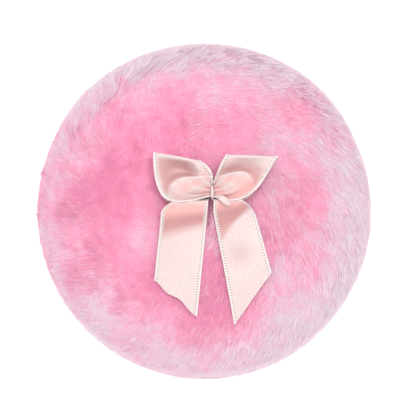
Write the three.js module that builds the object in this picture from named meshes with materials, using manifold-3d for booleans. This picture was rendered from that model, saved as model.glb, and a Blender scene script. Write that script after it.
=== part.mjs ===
// A round plush powder puff with a satin ribbon bow sewn to its crown.
// Millimetres, +Z up. The puff lies on its lower cover, with the origin under its middle.
// The bow's loops point to +Y and its tails to -Y.
import * as THREE from 'three';
import { mergeVertices } from 'three/addons/utils/BufferGeometryUtils.js';
import Module from 'manifold-3d';

const wasm = await Module();
wasm.setup();

// Puff sizes
const PUFF_DIAMETER = 97; // across the tips of the pile
const BASE_HEIGHT = 20; // resting face to seam plane
const CROWN_HEIGHT = 24; // seam plane to the top of the pile
const REST_DIAMETER = 56; // flat that the pile makes where the puff lies
const COVER_THICKNESS = 9; // backing cloth and pile together
const SIDE_BULGE = 3; // seam plane to the widest part of each cover
const SEAM_DRAW_IN = 1.5; // how far the seam pulls the rim in
const DOME_FULLNESS = 2.3; // exponent of the rounded section: 2 is an ellipse, more is squarer

// Seam and stitch sizes
const SEAM_ALLOWANCE = 5; // turned-in edge of each cover
const ALLOWANCE_THICKNESS = 1.2;
const TURNING_GAP = 45; // stretch of the rim that is closed by hand
const STITCH_LENGTH = 8;
const STITCH_RISE = 0.4;
const LADDER_LENGTH = 7.5;
const LADDER_RISE = 1.2;
const THREAD_DIAMETER = 0.6;

// Tuft where the bow is sewn on
const BOW_X = 2.2;
const BOW_Y = 1.3;
const TUFT_DEPTH = 1;
const TUFT_SPREAD = 7;

// Ribbon and knot sizes
const RIBBON_WIDTH = 13;
const RIBBON_THICKNESS = 0.5;
const LAYER_GAP = 0.5; // between the ribbon's layers where the knot holds them
const WAIST_LENGTH = 3; // along X
const WAIST_WIDTH = 1.8; // along Y
const WAIST_ROUNDING = 0.6;
const BAND_WIDTH = 1.1;
const BAND_THICKNESS = 0.4;

// Loops: a loop is folded at its far end, and its outer selvedge swings out to a belly on the way
const FOLD_HEIGHT = 3; // between the two layers at the fold
const LOOP_REST_LIFT = 1.6; // under the fold, above the pile
const LOOP_SWELL = 1.6; // rise of the upper layer beside the knot
const DISH_DEPTH = 1.3; // hollow in the upper layer before the fold
const SWELL_BIAS = 0.7; // under 1 the swell is nearer to the knot than to the fold
const DISH_BIAS = 2; // over 1 the hollow is nearer to the fold
const BOW_PLACE = 0.6; // where along its length an inner selvedge is bowed
const PLEATS = 3;
const PLEAT_DEPTH = 0.3;
const LEFT_LOOP = {
  reach: 12.6, // knot to the middle of the fold
  heading: 138.6, // of the loop, in degrees from +X
  fold: 169.7, // heading of the fold line
  skew: 0, // of the fold line against a square fold
  bow: 2.2, // of the inner selvedge towards the middle
  belly: 13.2,
  bellyHeading: 190,
};
const RIGHT_LOOP = { reach: 13.8, heading: 39.4, fold: -1, skew: 26, bow: 0.8, belly: 11.7, bellyHeading: 0 };

// Tails: a tail runs from the hinge line to a slanting cut, longest along its inner selvedge
const HINGE_OFFSET = 6; // from the knot towards -Y
const LEFT_TAIL = {
  inset: 1.3, // knot to the inner selvedge at the hinge line
  spread: 13, // width at the hinge line
  splay: 5.8, // lean away from -Y, in degrees
  length: 28.6, // of the inner selvedge
  cut: 8.6, // how much shorter the outer selvedge is
};
const RIGHT_TAIL = { inset: 0.3, spread: 11.8, splay: 10.8, length: 31.4, cut: 12.4 };

// Fits and facets
const CLEARANCE = 0.3; // between pieces that touch
const SEGMENTS = 40; // round the puff
const DOME_STEPS = 14; // rim to crown, on the outside
const CAVITY_STEPS = 8; // rim to crown, on the inside
const BASE_STEPS = 8; // rim to resting face, on the outside
const FLOOR_STEPS = 6; // rim to floor, on the inside
const BULGE_STEPS = 3; // seam to the widest part of a cover
const FILLING_TOP_STEPS = 12;
const FILLING_BASE_STEPS = 10;
const HOLE_SIDES = 8;
const POCKET_SIDES = 16;
const CORNER_STEPS = 4;
const THREAD_SIDES = 5;
const STEPS_PER_STITCH = 4;
const TACK_STEPS = 72;
const RIBBON_COLUMNS = 8; // across any strip of ribbon
const LOWER_LAYER_ROWS = 6; // along a loop: lower layer, fold and upper layer
const FOLD_ROWS = 4;
const UPPER_LAYER_ROWS = 10;
const ROOT_ROWS = 6;
const TAIL_ROWS = 12;
const ARC_DIVISIONS = 1000; // for even spacing along a thread
const MERGE_DISTANCE = 1e-4;

// Values worked out from the sizes
const puffRadius = PUFF_DIAMETER / 2;
const cavityRadius = puffRadius - COVER_THICKNESS;
const allowanceRadius = cavityRadius - SEAM_ALLOWANCE;
const upperFace = BASE_HEIGHT + CLEARANCE / 2;
const lowerFace = BASE_HEIGHT - CLEARANCE / 2;
const upperLedge = upperFace + ALLOWANCE_THICKNESS;
const lowerLedge = lowerFace - ALLOWANCE_THICKNESS;
const ceiling = BASE_HEIGHT + CROWN_HEIGHT - COVER_THICKNESS;
const cavityRise = ceiling - upperLedge;
const cavityDrop = lowerLedge - COVER_THICKNESS;
const cavityFloorRadius = REST_DIAMETER / 2 - COVER_THICKNESS;
const threadRadius = THREAD_DIAMETER / 2;
const threadSpace = THREAD_DIAMETER + STITCH_RISE + 2 * CLEARANCE;
const knotLift = 2 * CLEARANCE + BAND_THICKNESS; // pile to the underside of the waist
const layerPitch = RIBBON_THICKNESS + LAYER_GAP;
const waistHeight = 3 * RIBBON_THICKNESS + 2 * LAYER_GAP;
const bandHalfWidth = WAIST_WIDTH / 2 + CLEARANCE + BAND_THICKNESS;
const tackSpread = bandHalfWidth + CLEARANCE + threadRadius;
const needleHoleRadius = threadRadius + CLEARANCE;
const hingeY = BOW_Y - HINGE_OFFSET;

// Materials
const plush = new THREE.MeshStandardMaterial({ color: 0xf8a4c6, roughness: 0.95 });
const wadding = new THREE.MeshStandardMaterial({ color: 0xf4f1ec, roughness: 1 });
const thread = new THREE.MeshStandardMaterial({ color: 0xf6ded8, roughness: 0.6 });
const satin = new THREE.MeshStandardMaterial({ color: 0xf6dcda, roughness: 0.4 });

// Heights
function radians(degrees) {
  return THREE.MathUtils.degToRad(degrees);
}

function tuft(x, y) {
  const square = (x - BOW_X) ** 2 + (y - BOW_Y) ** 2;
  return TUFT_DEPTH * Math.exp(-square / (2 * TUFT_SPREAD ** 2));
}

function domeRise(share, rise) {
  return rise * (1 - Math.min(share, 1) ** DOME_FULLNESS) ** (1 / DOME_FULLNESS);
}

function pileTop(x, y) {
  const rise = domeRise(Math.hypot(x, y) / puffRadius, CROWN_HEIGHT - SIDE_BULGE);
  return BASE_HEIGHT + SIDE_BULGE + rise - tuft(x, y);
}

function cavityTop(x, y) {
  return upperLedge + domeRise(Math.hypot(x, y) / cavityRadius, cavityRise) - tuft(x, y);
}

// Solids
function volumeOf(geometry) {
  const { index, attributes } = geometry;
  const corner = [0, 1, 2].map(() => new THREE.Vector3());
  let sum = 0;
  for (let i = 0; i < index.count; i += 3) {
    corner.forEach((point, k) => point.fromBufferAttribute(attributes.position, index.getX(i + k)));
    sum += corner[0].dot(corner[1].cross(corner[2])) / 6;
  }
  return sum;
}

function faceOut(geometry) {
  if (volumeOf(geometry) < 0) {
    geometry.index.array.reverse();
    geometry.computeVertexNormals();
  }
  return geometry;
}

function cleanGeometry(geometry) {
  const bare = geometry.clone();
  bare.deleteAttribute('normal');
  bare.deleteAttribute('uv');
  const merged = mergeVertices(bare, MERGE_DISTANCE);
  const corners = merged.index.array;
  const kept = [];
  for (let i = 0; i < corners.length; i += 3) {
    const triangle = [corners[i], corners[i + 1], corners[i + 2]];
    if (new Set(triangle).size === 3) kept.push(...triangle);
  }
  merged.setIndex(kept);
  merged.computeVertexNormals();
  return faceOut(merged);
}

function toSolid(geometry) {
  const clean = cleanGeometry(geometry);
  const vertProperties = new Float32Array(clean.attributes.position.array);
  const triVerts = new Uint32Array(clean.index.array);
  return new wasm.Manifold(new wasm.Mesh({ numProp: 3, vertProperties, triVerts }));
}

function toGeometry(solid) {
  const { vertProperties, triVerts } = solid.getMesh();
  const geometry = new THREE.BufferGeometry();
  geometry.setAttribute('position', new THREE.BufferAttribute(new Float32Array(vertProperties), 3));
  geometry.setIndex(Array.from(triVerts));
  geometry.computeVertexNormals();
  return geometry;
}

function cutAway(geometry, cutters) {
  return toGeometry(cutters.reduce((solid, cutter) => solid.subtract(toSolid(cutter)), toSolid(geometry)));
}

function turned(profile) {
  return cleanGeometry(new THREE.LatheGeometry(profile, SEGMENTS).rotateX(Math.PI / 2));
}

function upright(radius, height, sides) {
  return new THREE.CylinderGeometry(radius, radius, height, sides).rotateX(Math.PI / 2);
}

function samples(count, point) {
  return Array.from({ length: count + 1 }, (_, i) => point(i / count));
}

// A quarter of the rounded section, from (reach, foot) to (inner, foot + rise)
function roundedQuarter(reach, inner, foot, rise, steps) {
  const power = 2 / DOME_FULLNESS;
  return samples(steps, (share) => {
    const angle = (share * Math.PI) / 2;
    const across = share === 1 ? 0 : Math.cos(angle) ** power;
    return new THREE.Vector2(inner + (reach - inner) * across, foot + rise * Math.sin(angle) ** power);
  });
}

function pullDownTuft(geometry) {
  const { position } = geometry.attributes;
  for (let i = 0; i < position.count; i += 1) {
    const z = position.getZ(i);
    if (z > BASE_HEIGHT) position.setZ(i, z - tuft(position.getX(i), position.getY(i)));
  }
  geometry.computeVertexNormals();
  return geometry;
}

// A strip of ribbon: a grid of points on its middle surface, given half its thickness each way
function ribbonStrip(point, rows) {
  const columns = RIBBON_COLUMNS;
  const grid = samples(rows, (u) => samples(columns, (t) => point(u, t)));
  const positions = [];
  for (const side of [0.5, -0.5]) {
    for (let i = 0; i <= rows; i += 1) {
      for (let j = 0; j <= columns; j += 1) {
        const along = grid[Math.min(i + 1, rows)][j].clone().sub(grid[Math.max(i - 1, 0)][j]);
        const across = grid[i][Math.min(j + 1, columns)].clone().sub(grid[i][Math.max(j - 1, 0)]);
        const normal = along.cross(across).normalize();
        positions.push(...grid[i][j].clone().addScaledVector(normal, side * RIBBON_THICKNESS));
      }
    }
  }
  const stride = columns + 1;
  const layer = stride * (rows + 1);
  const index = [];
  const quad = (a, b, c, d) => index.push(a, b, c, a, c, d);
  for (let i = 0; i < rows; i += 1) {
    for (let j = 0; j < columns; j += 1) {
      const a = i * stride + j;
      quad(a, a + stride, a + stride + 1, a + 1);
      quad(layer + a, layer + a + 1, layer + a + stride + 1, layer + a + stride);
    }
    const start = i * stride;
    const end = start + columns;
    quad(start, layer + start, layer + start + stride, start + stride);
    quad(end, end + stride, layer + end + stride, layer + end);
  }
  for (let j = 0; j < columns; j += 1) {
    const last = rows * stride + j;
    quad(j, j + 1, layer + j + 1, layer + j);
    quad(last, layer + last, layer + last + 1, last + 1);
  }
  const geometry = new THREE.BufferGeometry();
  geometry.setAttribute('position', new THREE.Float32BufferAttribute(positions, 3));
  geometry.setIndex(index);
  geometry.computeVertexNormals();
  return faceOut(geometry);
}

// Threads
function roundSection(diameter) {
  return new THREE.Shape(
    samples(THREAD_SIDES - 1, (share) => {
      const angle = (share * (THREAD_SIDES - 1) * 2 * Math.PI) / THREAD_SIDES;
      return new THREE.Vector2(Math.cos(angle), Math.sin(angle)).multiplyScalar(diameter / 2);
    }),
  );
}

function curveOf(point) {
  const curve = new THREE.Curve();
  curve.arcLengthDivisions = ARC_DIVISIONS;
  curve.getPoint = (share) => point(share);
  return curve;
}

function along(section, extrudePath, steps) {
  return new THREE.ExtrudeGeometry(section, { steps, extrudePath, bevelEnabled: false });
}

function onRim(radius, angle, z) {
  return new THREE.Vector3(radius * Math.cos(angle), radius * Math.sin(angle), z);
}

// A row of stitches round the rim, rising and falling once in each stitch
function stitchRow(radius, from, to, z, rise, stitchLength) {
  const stitches = Math.max(2, Math.round((radius * (to - from)) / stitchLength));
  const path = curveOf((share) => {
    const wave = (1 - Math.cos(2 * Math.PI * stitches * share)) / 2;
    return onRim(radius, from + (to - from) * share, z + rise * wave);
  });
  return along(roundSection(THREAD_DIAMETER), path, stitches * STEPS_PER_STITCH);
}

// A line through points, with each bend rounded
function roundedPath(points, bend) {
  const path = new THREE.CurvePath();
  let start = points[0];
  for (let i = 1; i < points.length - 1; i += 1) {
    const corner = points[i];
    const before = corner.clone().add(points[i - 1].clone().sub(corner).setLength(bend));
    const after = corner.clone().add(points[i + 1].clone().sub(corner).setLength(bend));
    path.add(new THREE.LineCurve3(start, before));
    path.add(new THREE.QuadraticBezierCurve3(before, corner, after));
    start = after;
  }
  path.add(new THREE.LineCurve3(start, points[points.length - 1]));
  return path;
}

// Rim seam, with its hand-closed gap at the back
const seamRadius = cavityRadius - SEAM_ALLOWANCE / 2;
const gapRadius = (cavityRadius + puffRadius - SEAM_DRAW_IN) / 2;
const gapHalfAngle = TURNING_GAP / 2 / gapRadius;
const gapMiddle = Math.PI / 2;
const seamStart = gapMiddle + gapHalfAngle;
const seamEnd = gapMiddle - gapHalfAngle + 2 * Math.PI;

function needleThread() {
  const z = upperLedge + CLEARANCE + threadRadius;
  return stitchRow(seamRadius, seamStart, seamEnd, z, STITCH_RISE, STITCH_LENGTH);
}

function bobbinThread() {
  const z = lowerLedge - CLEARANCE - threadRadius;
  return stitchRow(seamRadius, seamStart, seamEnd, z, -STITCH_RISE, STITCH_LENGTH);
}

function closingStitch() {
  const z = BASE_HEIGHT - LADDER_RISE;
  const [from, to] = [gapMiddle - gapHalfAngle, gapMiddle + gapHalfAngle];
  return stitchRow(gapRadius, from, to, z, 2 * LADDER_RISE, LADDER_LENGTH);
}

// Room for the closing stitch, half of it in each cover
function closingChannel() {
  const halfHeight = LADDER_RISE + threadRadius + CLEARANCE;
  const halfWidth = threadRadius + CLEARANCE;
  const halfAngle = gapHalfAngle + CLEARANCE / gapRadius;
  const section = new THREE.Shape([
    new THREE.Vector2(-halfHeight, -halfWidth),
    new THREE.Vector2(halfHeight, -halfWidth),
    new THREE.Vector2(halfHeight, halfWidth),
    new THREE.Vector2(-halfHeight, halfWidth),
  ]);
  const path = curveOf((share) => onRim(gapRadius, gapMiddle + halfAngle * (2 * share - 1), BASE_HEIGHT));
  return along(section, path, SEGMENTS / 2);
}

// Covers and filling
function rimBulge(face, widest) {
  const swing = (share) => Math.sin((share * Math.PI) / 2);
  return samples(BULGE_STEPS, (share) => {
    const x = puffRadius - SEAM_DRAW_IN * (1 - swing(share));
    return new THREE.Vector2(x, face + (widest - face) * share);
  });
}

function needleHoles() {
  const height = 3 * COVER_THICKNESS;
  return [-tackSpread, tackSpread].map((offset) => {
    const middle = BASE_HEIGHT + CROWN_HEIGHT - COVER_THICKNESS / 2;
    return upright(needleHoleRadius, height, HOLE_SIDES).translate(BOW_X, BOW_Y + offset, middle);
  });
}

function upperCover() {
  const widest = BASE_HEIGHT + SIDE_BULGE;
  const outer = roundedQuarter(puffRadius, 0, widest, CROWN_HEIGHT - SIDE_BULGE, DOME_STEPS);
  const inner = roundedQuarter(cavityRadius, 0, upperLedge, cavityRise, CAVITY_STEPS);
  const profile = [
    ...inner.reverse(),
    new THREE.Vector2(allowanceRadius, upperLedge),
    new THREE.Vector2(allowanceRadius, upperFace),
    ...rimBulge(upperFace, widest),
    ...outer.slice(1),
  ];
  return cutAway(pullDownTuft(turned(profile)), [...needleHoles(), closingChannel()]);
}

function lowerCover() {
  const widest = BASE_HEIGHT - SIDE_BULGE;
  const outer = roundedQuarter(puffRadius, REST_DIAMETER / 2, widest, -widest, BASE_STEPS);
  const inner = roundedQuarter(cavityRadius, cavityFloorRadius, lowerLedge, -cavityDrop, FLOOR_STEPS);
  const profile = [
    new THREE.Vector2(0, COVER_THICKNESS),
    ...inner.reverse(),
    new THREE.Vector2(allowanceRadius, lowerLedge),
    new THREE.Vector2(allowanceRadius, lowerFace),
    ...rimBulge(lowerFace, widest),
    ...outer.slice(1),
    new THREE.Vector2(0, 0),
  ];
  return cutAway(turned(profile), [closingChannel()]);
}

// The filling stands clear of the covers, of the allowances and their stitches, and of the tied-off tack
function filling() {
  const reach = cavityRadius - CLEARANCE;
  const clearOf = (height) => (point) => Math.abs(point.y - BASE_HEIGHT) > height;
  const ledge = upperLedge + threadSpace - BASE_HEIGHT;
  const rise = cavityRise - CLEARANCE;
  const drop = cavityDrop - CLEARANCE;
  const crown = roundedQuarter(reach, 0, upperLedge, rise, FILLING_TOP_STEPS);
  const base = roundedQuarter(reach, cavityFloorRadius, lowerLedge, -drop, FILLING_BASE_STEPS);
  const waist = allowanceRadius - CLEARANCE;
  const profile = [
    new THREE.Vector2(0, COVER_THICKNESS + CLEARANCE),
    ...base.filter(clearOf(ledge)).reverse(),
    new THREE.Vector2(waist, BASE_HEIGHT - ledge),
    new THREE.Vector2(waist, BASE_HEIGHT + ledge),
    ...crown.filter(clearOf(ledge)),
  ];
  const room = 2 * (THREAD_DIAMETER + 2 * CLEARANCE);
  const pocket = upright(tackSpread + THREAD_DIAMETER, 2 * room, POCKET_SIDES);
  pocket.translate(BOW_X, BOW_Y, cavityTop(BOW_X, BOW_Y));
  return cutAway(pullDownTuft(turned(profile)), [pocket]);
}

// Knot
const knotFoot = pileTop(BOW_X, BOW_Y) + knotLift;
const tailLevel = knotFoot + RIBBON_THICKNESS / 2;

function roundedBlock(halfWidth, low, high, rounding) {
  const shape = new THREE.Shape();
  const [r, turn] = [rounding, Math.PI / 2];
  shape.absarc(halfWidth - r, low + r, r, -turn, 0);
  shape.absarc(halfWidth - r, high - r, r, 0, turn);
  shape.absarc(r - halfWidth, high - r, r, turn, 2 * turn);
  shape.absarc(r - halfWidth, low + r, r, 2 * turn, 3 * turn);
  return shape;
}

// An outline in Y and Z, given a length along X and centred on the knot
function acrossKnot(shape, length) {
  const options = { depth: length, bevelEnabled: false, curveSegments: CORNER_STEPS };
  const geometry = new THREE.ExtrudeGeometry(shape, options);
  geometry.translate(0, 0, -length / 2);
  geometry.rotateX(Math.PI / 2);
  geometry.rotateZ(Math.PI / 2);
  return geometry.translate(BOW_X, BOW_Y, knotFoot);
}

function bowWaist() {
  return acrossKnot(roundedBlock(WAIST_WIDTH / 2, 0, waistHeight, WAIST_ROUNDING), WAIST_LENGTH);
}

function knotBand() {
  const inner = CLEARANCE;
  const outer = inner + BAND_THICKNESS;
  const grown = (by) => roundedBlock(WAIST_WIDTH / 2 + by, -by, waistHeight + by, WAIST_ROUNDING + by);
  const shape = grown(outer);
  shape.holes.push(grown(inner));
  return acrossKnot(shape, BAND_WIDTH);
}

// The tack goes over the knot, down both needle holes and is tied off under the cover
function bowTack() {
  const over = knotFoot + waistHeight + 2 * CLEARANCE + BAND_THICKNESS + threadRadius;
  const under = cavityTop(BOW_X, BOW_Y) - 2 * CLEARANCE - threadRadius;
  const side = threadRadius + CLEARANCE;
  const place = (x, y, z) => new THREE.Vector3(BOW_X + x, BOW_Y + y, z);
  const path = roundedPath(
    [
      place(side, tackSpread / 2, under),
      place(0, -tackSpread, under),
      place(0, -tackSpread, over),
      place(0, tackSpread, over),
      place(0, tackSpread, under),
      place(-side, -tackSpread / 2, under),
    ],
    THREAD_DIAMETER,
  );
  return along(roundSection(THREAD_DIAMETER), path, TACK_STEPS);
}

// Loops
function polar(reach, heading) {
  return new THREE.Vector2(Math.cos(radians(heading)), Math.sin(radians(heading))).multiplyScalar(reach);
}

// Seen from above, a loop lies between its inner and its outer selvedge, which both start at the waist
function loopPlan(size, side) {
  const rootX = side * (WAIST_LENGTH / 2 + CLEARANCE);
  const rootY = WAIST_WIDTH / 2;
  const foldMiddle = polar(size.reach, size.heading);
  const halfFold = polar(RIBBON_WIDTH / 2 / Math.cos(radians(size.skew)), size.fold);
  const innerCorner = foldMiddle.clone().sub(halfFold);
  const outerCorner = foldMiddle.clone().add(halfFold);
  const innerBow = new THREE.Vector2(rootX, rootY).lerp(innerCorner, BOW_PLACE);
  innerBow.x -= side * size.bow;
  const inner = new THREE.QuadraticBezierCurve(new THREE.Vector2(rootX, rootY), innerBow, innerCorner);
  const outer = new THREE.SplineCurve([
    new THREE.Vector2(rootX, -rootY),
    polar(size.belly, size.bellyHeading),
    outerCorner,
  ]);
  return (e, t) => inner.getPoint(e).lerp(outer.getPoint(e), t);
}

function loop(size, side) {
  const plan = loopPlan(size, side);
  const smooth = (share) => THREE.MathUtils.smoothstep(share, 0, 1);
  const mix = THREE.MathUtils.lerp;
  const lowerLift = (e) => mix(knotLift + layerPitch, LOOP_REST_LIFT, smooth(e)) + RIBBON_THICKNESS / 2;
  const opening = (e, t) => {
    const swell = LOOP_SWELL * Math.sin(Math.PI * e ** SWELL_BIAS) ** 2;
    const dish = DISH_DEPTH * Math.sin(Math.PI * t) * Math.sin(Math.PI * e ** DISH_BIAS) ** 2;
    const pleat = PLEAT_DEPTH * (1 - e) ** 2 * Math.cos(2 * Math.PI * PLEATS * t);
    return mix(layerPitch, FOLD_HEIGHT, smooth(e)) + swell - dish + pleat;
  };
  const layer = (e, t, upper) => {
    const spot = plan(e, t);
    const [x, y] = [BOW_X + spot.x, BOW_Y + spot.y];
    return new THREE.Vector3(x, y, pileTop(x, y) + lowerLift(e) + upper * opening(e, t));
  };
  const foldEdge = (turn, t) => {
    const edge = layer(1, t, 0);
    const lastRow = 1 - 1 / UPPER_LAYER_ROWS;
    const outward = plan(1, t).sub(plan(lastRow, t)).setLength(FOLD_HEIGHT / 2);
    const swing = Math.sin(turn);
    const rise = (FOLD_HEIGHT / 2) * (1 - Math.cos(turn));
    return edge.add(new THREE.Vector3(outward.x * swing, outward.y * swing, rise));
  };
  const rows = LOWER_LAYER_ROWS + FOLD_ROWS + UPPER_LAYER_ROWS;
  const lowerEnd = LOWER_LAYER_ROWS / rows;
  const foldEnd = lowerEnd + FOLD_ROWS / rows;
  return ribbonStrip((u, t) => {
    if (u < lowerEnd) return layer(u / lowerEnd, t, 0);
    if (u < foldEnd) return foldEdge((Math.PI * (u - lowerEnd)) / (foldEnd - lowerEnd), t);
    return layer((1 - u) / (1 - foldEnd), t, 1);
  }, rows);
}

// Tails
function tailStart(size, side, t, y) {
  return new THREE.Vector2(side * (size.inset + size.spread * t), y - BOW_Y);
}

function onPile(x, y, lift) {
  return new THREE.Vector3(x, y, pileTop(x, y) + lift + RIBBON_THICKNESS / 2);
}

function tail(size, side) {
  const startY = hingeY - CLEARANCE / 2;
  const run = polar(1, -90 + side * size.splay);
  const across = new THREE.Vector2(-run.y, run.x).multiplyScalar(side * RIBBON_WIDTH);
  return ribbonStrip((u, t) => {
    const cutEdge = tailStart(size, side, 0, startY);
    cutEdge.addScaledVector(run, size.length - size.cut * t).addScaledVector(across, t);
    const spot = tailStart(size, side, t, startY).lerp(cutEdge, u);
    return onPile(BOW_X + spot.x, BOW_Y + spot.y, CLEARANCE);
  }, TAIL_ROWS);
}

// The root comes out of the waist beside the band, spreads to the full width and drops to the pile
function tailRoot(size, side) {
  const startY = -WAIST_WIDTH / 2 - CLEARANCE;
  const [nearX, farX] = [BAND_WIDTH / 2 + CLEARANCE, WAIST_LENGTH / 2];
  return ribbonStrip((u, t) => {
    const from = new THREE.Vector2(side * THREE.MathUtils.lerp(nearX, farX, t), startY);
    const spot = from.lerp(tailStart(size, side, t, hingeY + CLEARANCE / 2), u);
    const [x, y] = [BOW_X + spot.x, BOW_Y + spot.y];
    const drop = THREE.MathUtils.smoothstep(u, 0, 1);
    return onPile(x, y, THREE.MathUtils.lerp(tailLevel - pileTop(x, y), CLEARANCE, drop));
  }, ROOT_ROWS);
}

// The puff
const puff = new THREE.Group();

function addPiece(name, geometry, material) {
  const piece = new THREE.Mesh(geometry, material.clone());
  piece.name = name;
  puff.add(piece);
}

addPiece('upper_cover', upperCover(), plush);
addPiece('lower_cover', lowerCover(), plush);
addPiece('filling', filling(), wadding);
addPiece('seam_needle_thread', needleThread(), thread);
addPiece('seam_bobbin_thread', bobbinThread(), thread);
addPiece('closing_stitch', closingStitch(), thread);
addPiece('bow_tack', bowTack(), thread);
addPiece('bow_waist', bowWaist(), satin);
addPiece('knot_band', knotBand(), satin);
addPiece('left_loop', loop(LEFT_LOOP, -1), satin);
addPiece('right_loop', loop(RIGHT_LOOP, 1), satin);
addPiece('left_tail_root', tailRoot(LEFT_TAIL, -1), satin);
addPiece('right_tail_root', tailRoot(RIGHT_TAIL, 1), satin);
addPiece('left_tail', tail(LEFT_TAIL, -1), satin);
addPiece('right_tail', tail(RIGHT_TAIL, 1), satin);

export default puff;
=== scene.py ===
# %% [markdown]
# # A plush powder puff with a ribbon bow
#
# The object is a soft round puff of long pink plush with a small satin bow sewn to its crown.
# The solids of the puff are loaded first and stay where they are. Everything soft is then modelled
# again on top of them, as cloth, pile and ribbon, and each new piece hides the solid it stands for.

# %% Load the solids
import math

import bpy
import numpy as np
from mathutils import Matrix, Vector


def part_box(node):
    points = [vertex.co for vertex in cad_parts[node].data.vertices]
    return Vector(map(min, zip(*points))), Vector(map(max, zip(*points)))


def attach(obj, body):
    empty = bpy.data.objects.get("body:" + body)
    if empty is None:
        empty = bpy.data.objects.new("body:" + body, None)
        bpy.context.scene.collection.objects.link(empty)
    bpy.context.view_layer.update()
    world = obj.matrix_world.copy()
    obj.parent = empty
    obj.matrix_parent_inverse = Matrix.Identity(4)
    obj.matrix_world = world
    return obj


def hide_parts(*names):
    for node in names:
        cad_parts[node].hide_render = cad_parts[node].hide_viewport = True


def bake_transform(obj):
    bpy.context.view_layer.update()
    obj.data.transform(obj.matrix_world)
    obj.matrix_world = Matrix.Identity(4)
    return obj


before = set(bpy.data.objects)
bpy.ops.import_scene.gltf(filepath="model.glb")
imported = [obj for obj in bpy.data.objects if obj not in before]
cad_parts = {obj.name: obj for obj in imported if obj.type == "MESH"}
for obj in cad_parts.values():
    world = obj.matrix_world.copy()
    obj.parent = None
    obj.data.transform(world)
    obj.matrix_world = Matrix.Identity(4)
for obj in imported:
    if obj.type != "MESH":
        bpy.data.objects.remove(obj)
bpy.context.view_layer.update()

# %% [markdown]
# ## Sizes
#
# Lengths below are in millimetres, as a maker would write them, and become metres only when a mesh is
# made. The puff's radius and seam are read from the solids, so the cloth follows them. The rest repeats
# sizes that the solids were drawn with, apart from the ribbon's thickness, which is that of real satin.

# %% Sizes of the puff and the bow
MM = 0.001


def corners_of(node):
    """The lowest and highest corner of a solid, in millimetres."""
    return [np.array(corner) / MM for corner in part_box(node)]


upper_low, upper_high = corners_of("upper_cover")
PUFF_RADIUS = upper_high[0]
SEAM_HEIGHT = (upper_low[2] + corners_of("lower_cover")[1][2]) / 2
CROWN_HEIGHT = 24.0  # seam plane to the tips of the pile at the crown
SIDE_BULGE = 3.0  # seam plane to the widest part of each cover
SEAM_DRAW_IN = 1.5  # how far the seam pulls the rim in
DOME_FULLNESS = 2.3  # exponent of the rounded section: 2 is an ellipse, more is squarer
REST_RADIUS = 28.0  # flat that the pile makes where the puff lies
BOW = np.array([2.2, 1.3])  # middle of the knot, from above
TUFT_DEPTH = 1.0  # how far the bow's stitches pull the crown in
TUFT_SPREAD = 7.0
RIBBON_WIDTH = 13.0
RIBBON_THICKNESS = 0.3
print("puff radius", round(PUFF_RADIUS, 2), "seam height", round(SEAM_HEIGHT, 2))

# %% [markdown]
# ## Camera
#
# The puff is seen from above, tipped a little towards the viewer. A short lens close by would make the
# bow look too large, so a long lens looks from far off. Its length is worked out from how many pixels
# the puff spans in a square picture, and the camera is slid sideways and up so that the puff sits a
# little left of and below the middle.

# %% Camera
IMAGE_SIDE_PX = 416
PUFF_SPAN_PX = 333
PUFF_CENTRE_PX = np.array([204.5, 210.8])
CAMERA_DISTANCE = 600.0
CAMERA_ELEVATION = math.radians(80)
AIM_HEIGHT = 22.0

camera_data = bpy.data.cameras.new("camera")
camera_data.sensor_width = 36.0
span_share = PUFF_SPAN_PX / IMAGE_SIDE_PX
camera_data.lens = camera_data.sensor_width * span_share * CAMERA_DISTANCE / (2 * PUFF_RADIUS)
camera = bpy.data.objects.new("camera", camera_data)
scene = bpy.context.scene
scene.collection.objects.link(camera)
scene.camera = camera

back = Vector((0, -math.cos(CAMERA_ELEVATION), math.sin(CAMERA_ELEVATION)))
up = Vector((0, math.sin(CAMERA_ELEVATION), math.cos(CAMERA_ELEVATION)))
mm_per_px = 2 * PUFF_RADIUS / PUFF_SPAN_PX
slide_x, slide_y = (IMAGE_SIDE_PX / 2 - PUFF_CENTRE_PX) * mm_per_px
aim = Vector((slide_x, 0, AIM_HEIGHT)) - up * slide_y
camera.location = (aim + back * CAMERA_DISTANCE) * MM
camera.rotation_mode = "QUATERNION"
camera.rotation_quaternion = (-back).to_track_quat("-Z", "Y")
print("lens", round(camera_data.lens, 1), "mm")

# %% [markdown]
# ## Helpers for materials
#
# Colours are given as sRGB hex values, and shaders work in linear light, so one function turns
# the first into the second. Another adds a shader node with its settings and links, and a third starts
# a material. Without them each material would be a page of clicks written out as code.

# %% Helpers for materials
def linear(hex_colour):
    """An sRGB hex colour as linear red, green, blue and alpha."""
    shares = [int(hex_colour[i:i + 2], 16) / 255 for i in (1, 3, 5)]
    return [s / 12.92 if s <= 0.04045 else ((s + 0.055) / 1.055) ** 2.4 for s in shares] + [1.0]


def add_node(tree, kind, inputs=None, **settings):
    """A shader node with its settings. An input is a value, or another node's output to link."""
    made = tree.nodes.new(kind)
    for name, value in settings.items():
        setattr(made, name, value)
    for socket, value in (inputs or {}).items():
        if isinstance(value, bpy.types.NodeSocket):
            tree.links.new(value, made.inputs[socket])
        else:
            made.inputs[socket].default_value = value
    return made


def new_material(name, **sockets):
    """A material with one Principled shader, whose constant sockets are set directly."""
    material = bpy.data.materials.new(name)
    material.use_nodes = True
    shader = material.node_tree.nodes["Principled BSDF"]
    for socket, value in sockets.items():
        shader.inputs[socket.replace("_", " ")].default_value = value
    return material, material.node_tree, shader


print("half grey in linear light:", round(linear("#808080")[0], 3))

# %% [markdown]
# ## Meshes from arrays
#
# Faces can be added one by one, but the pile has more than half a million of them. So points and faces
# are worked out as arrays and handed to the mesh in one go.

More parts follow.
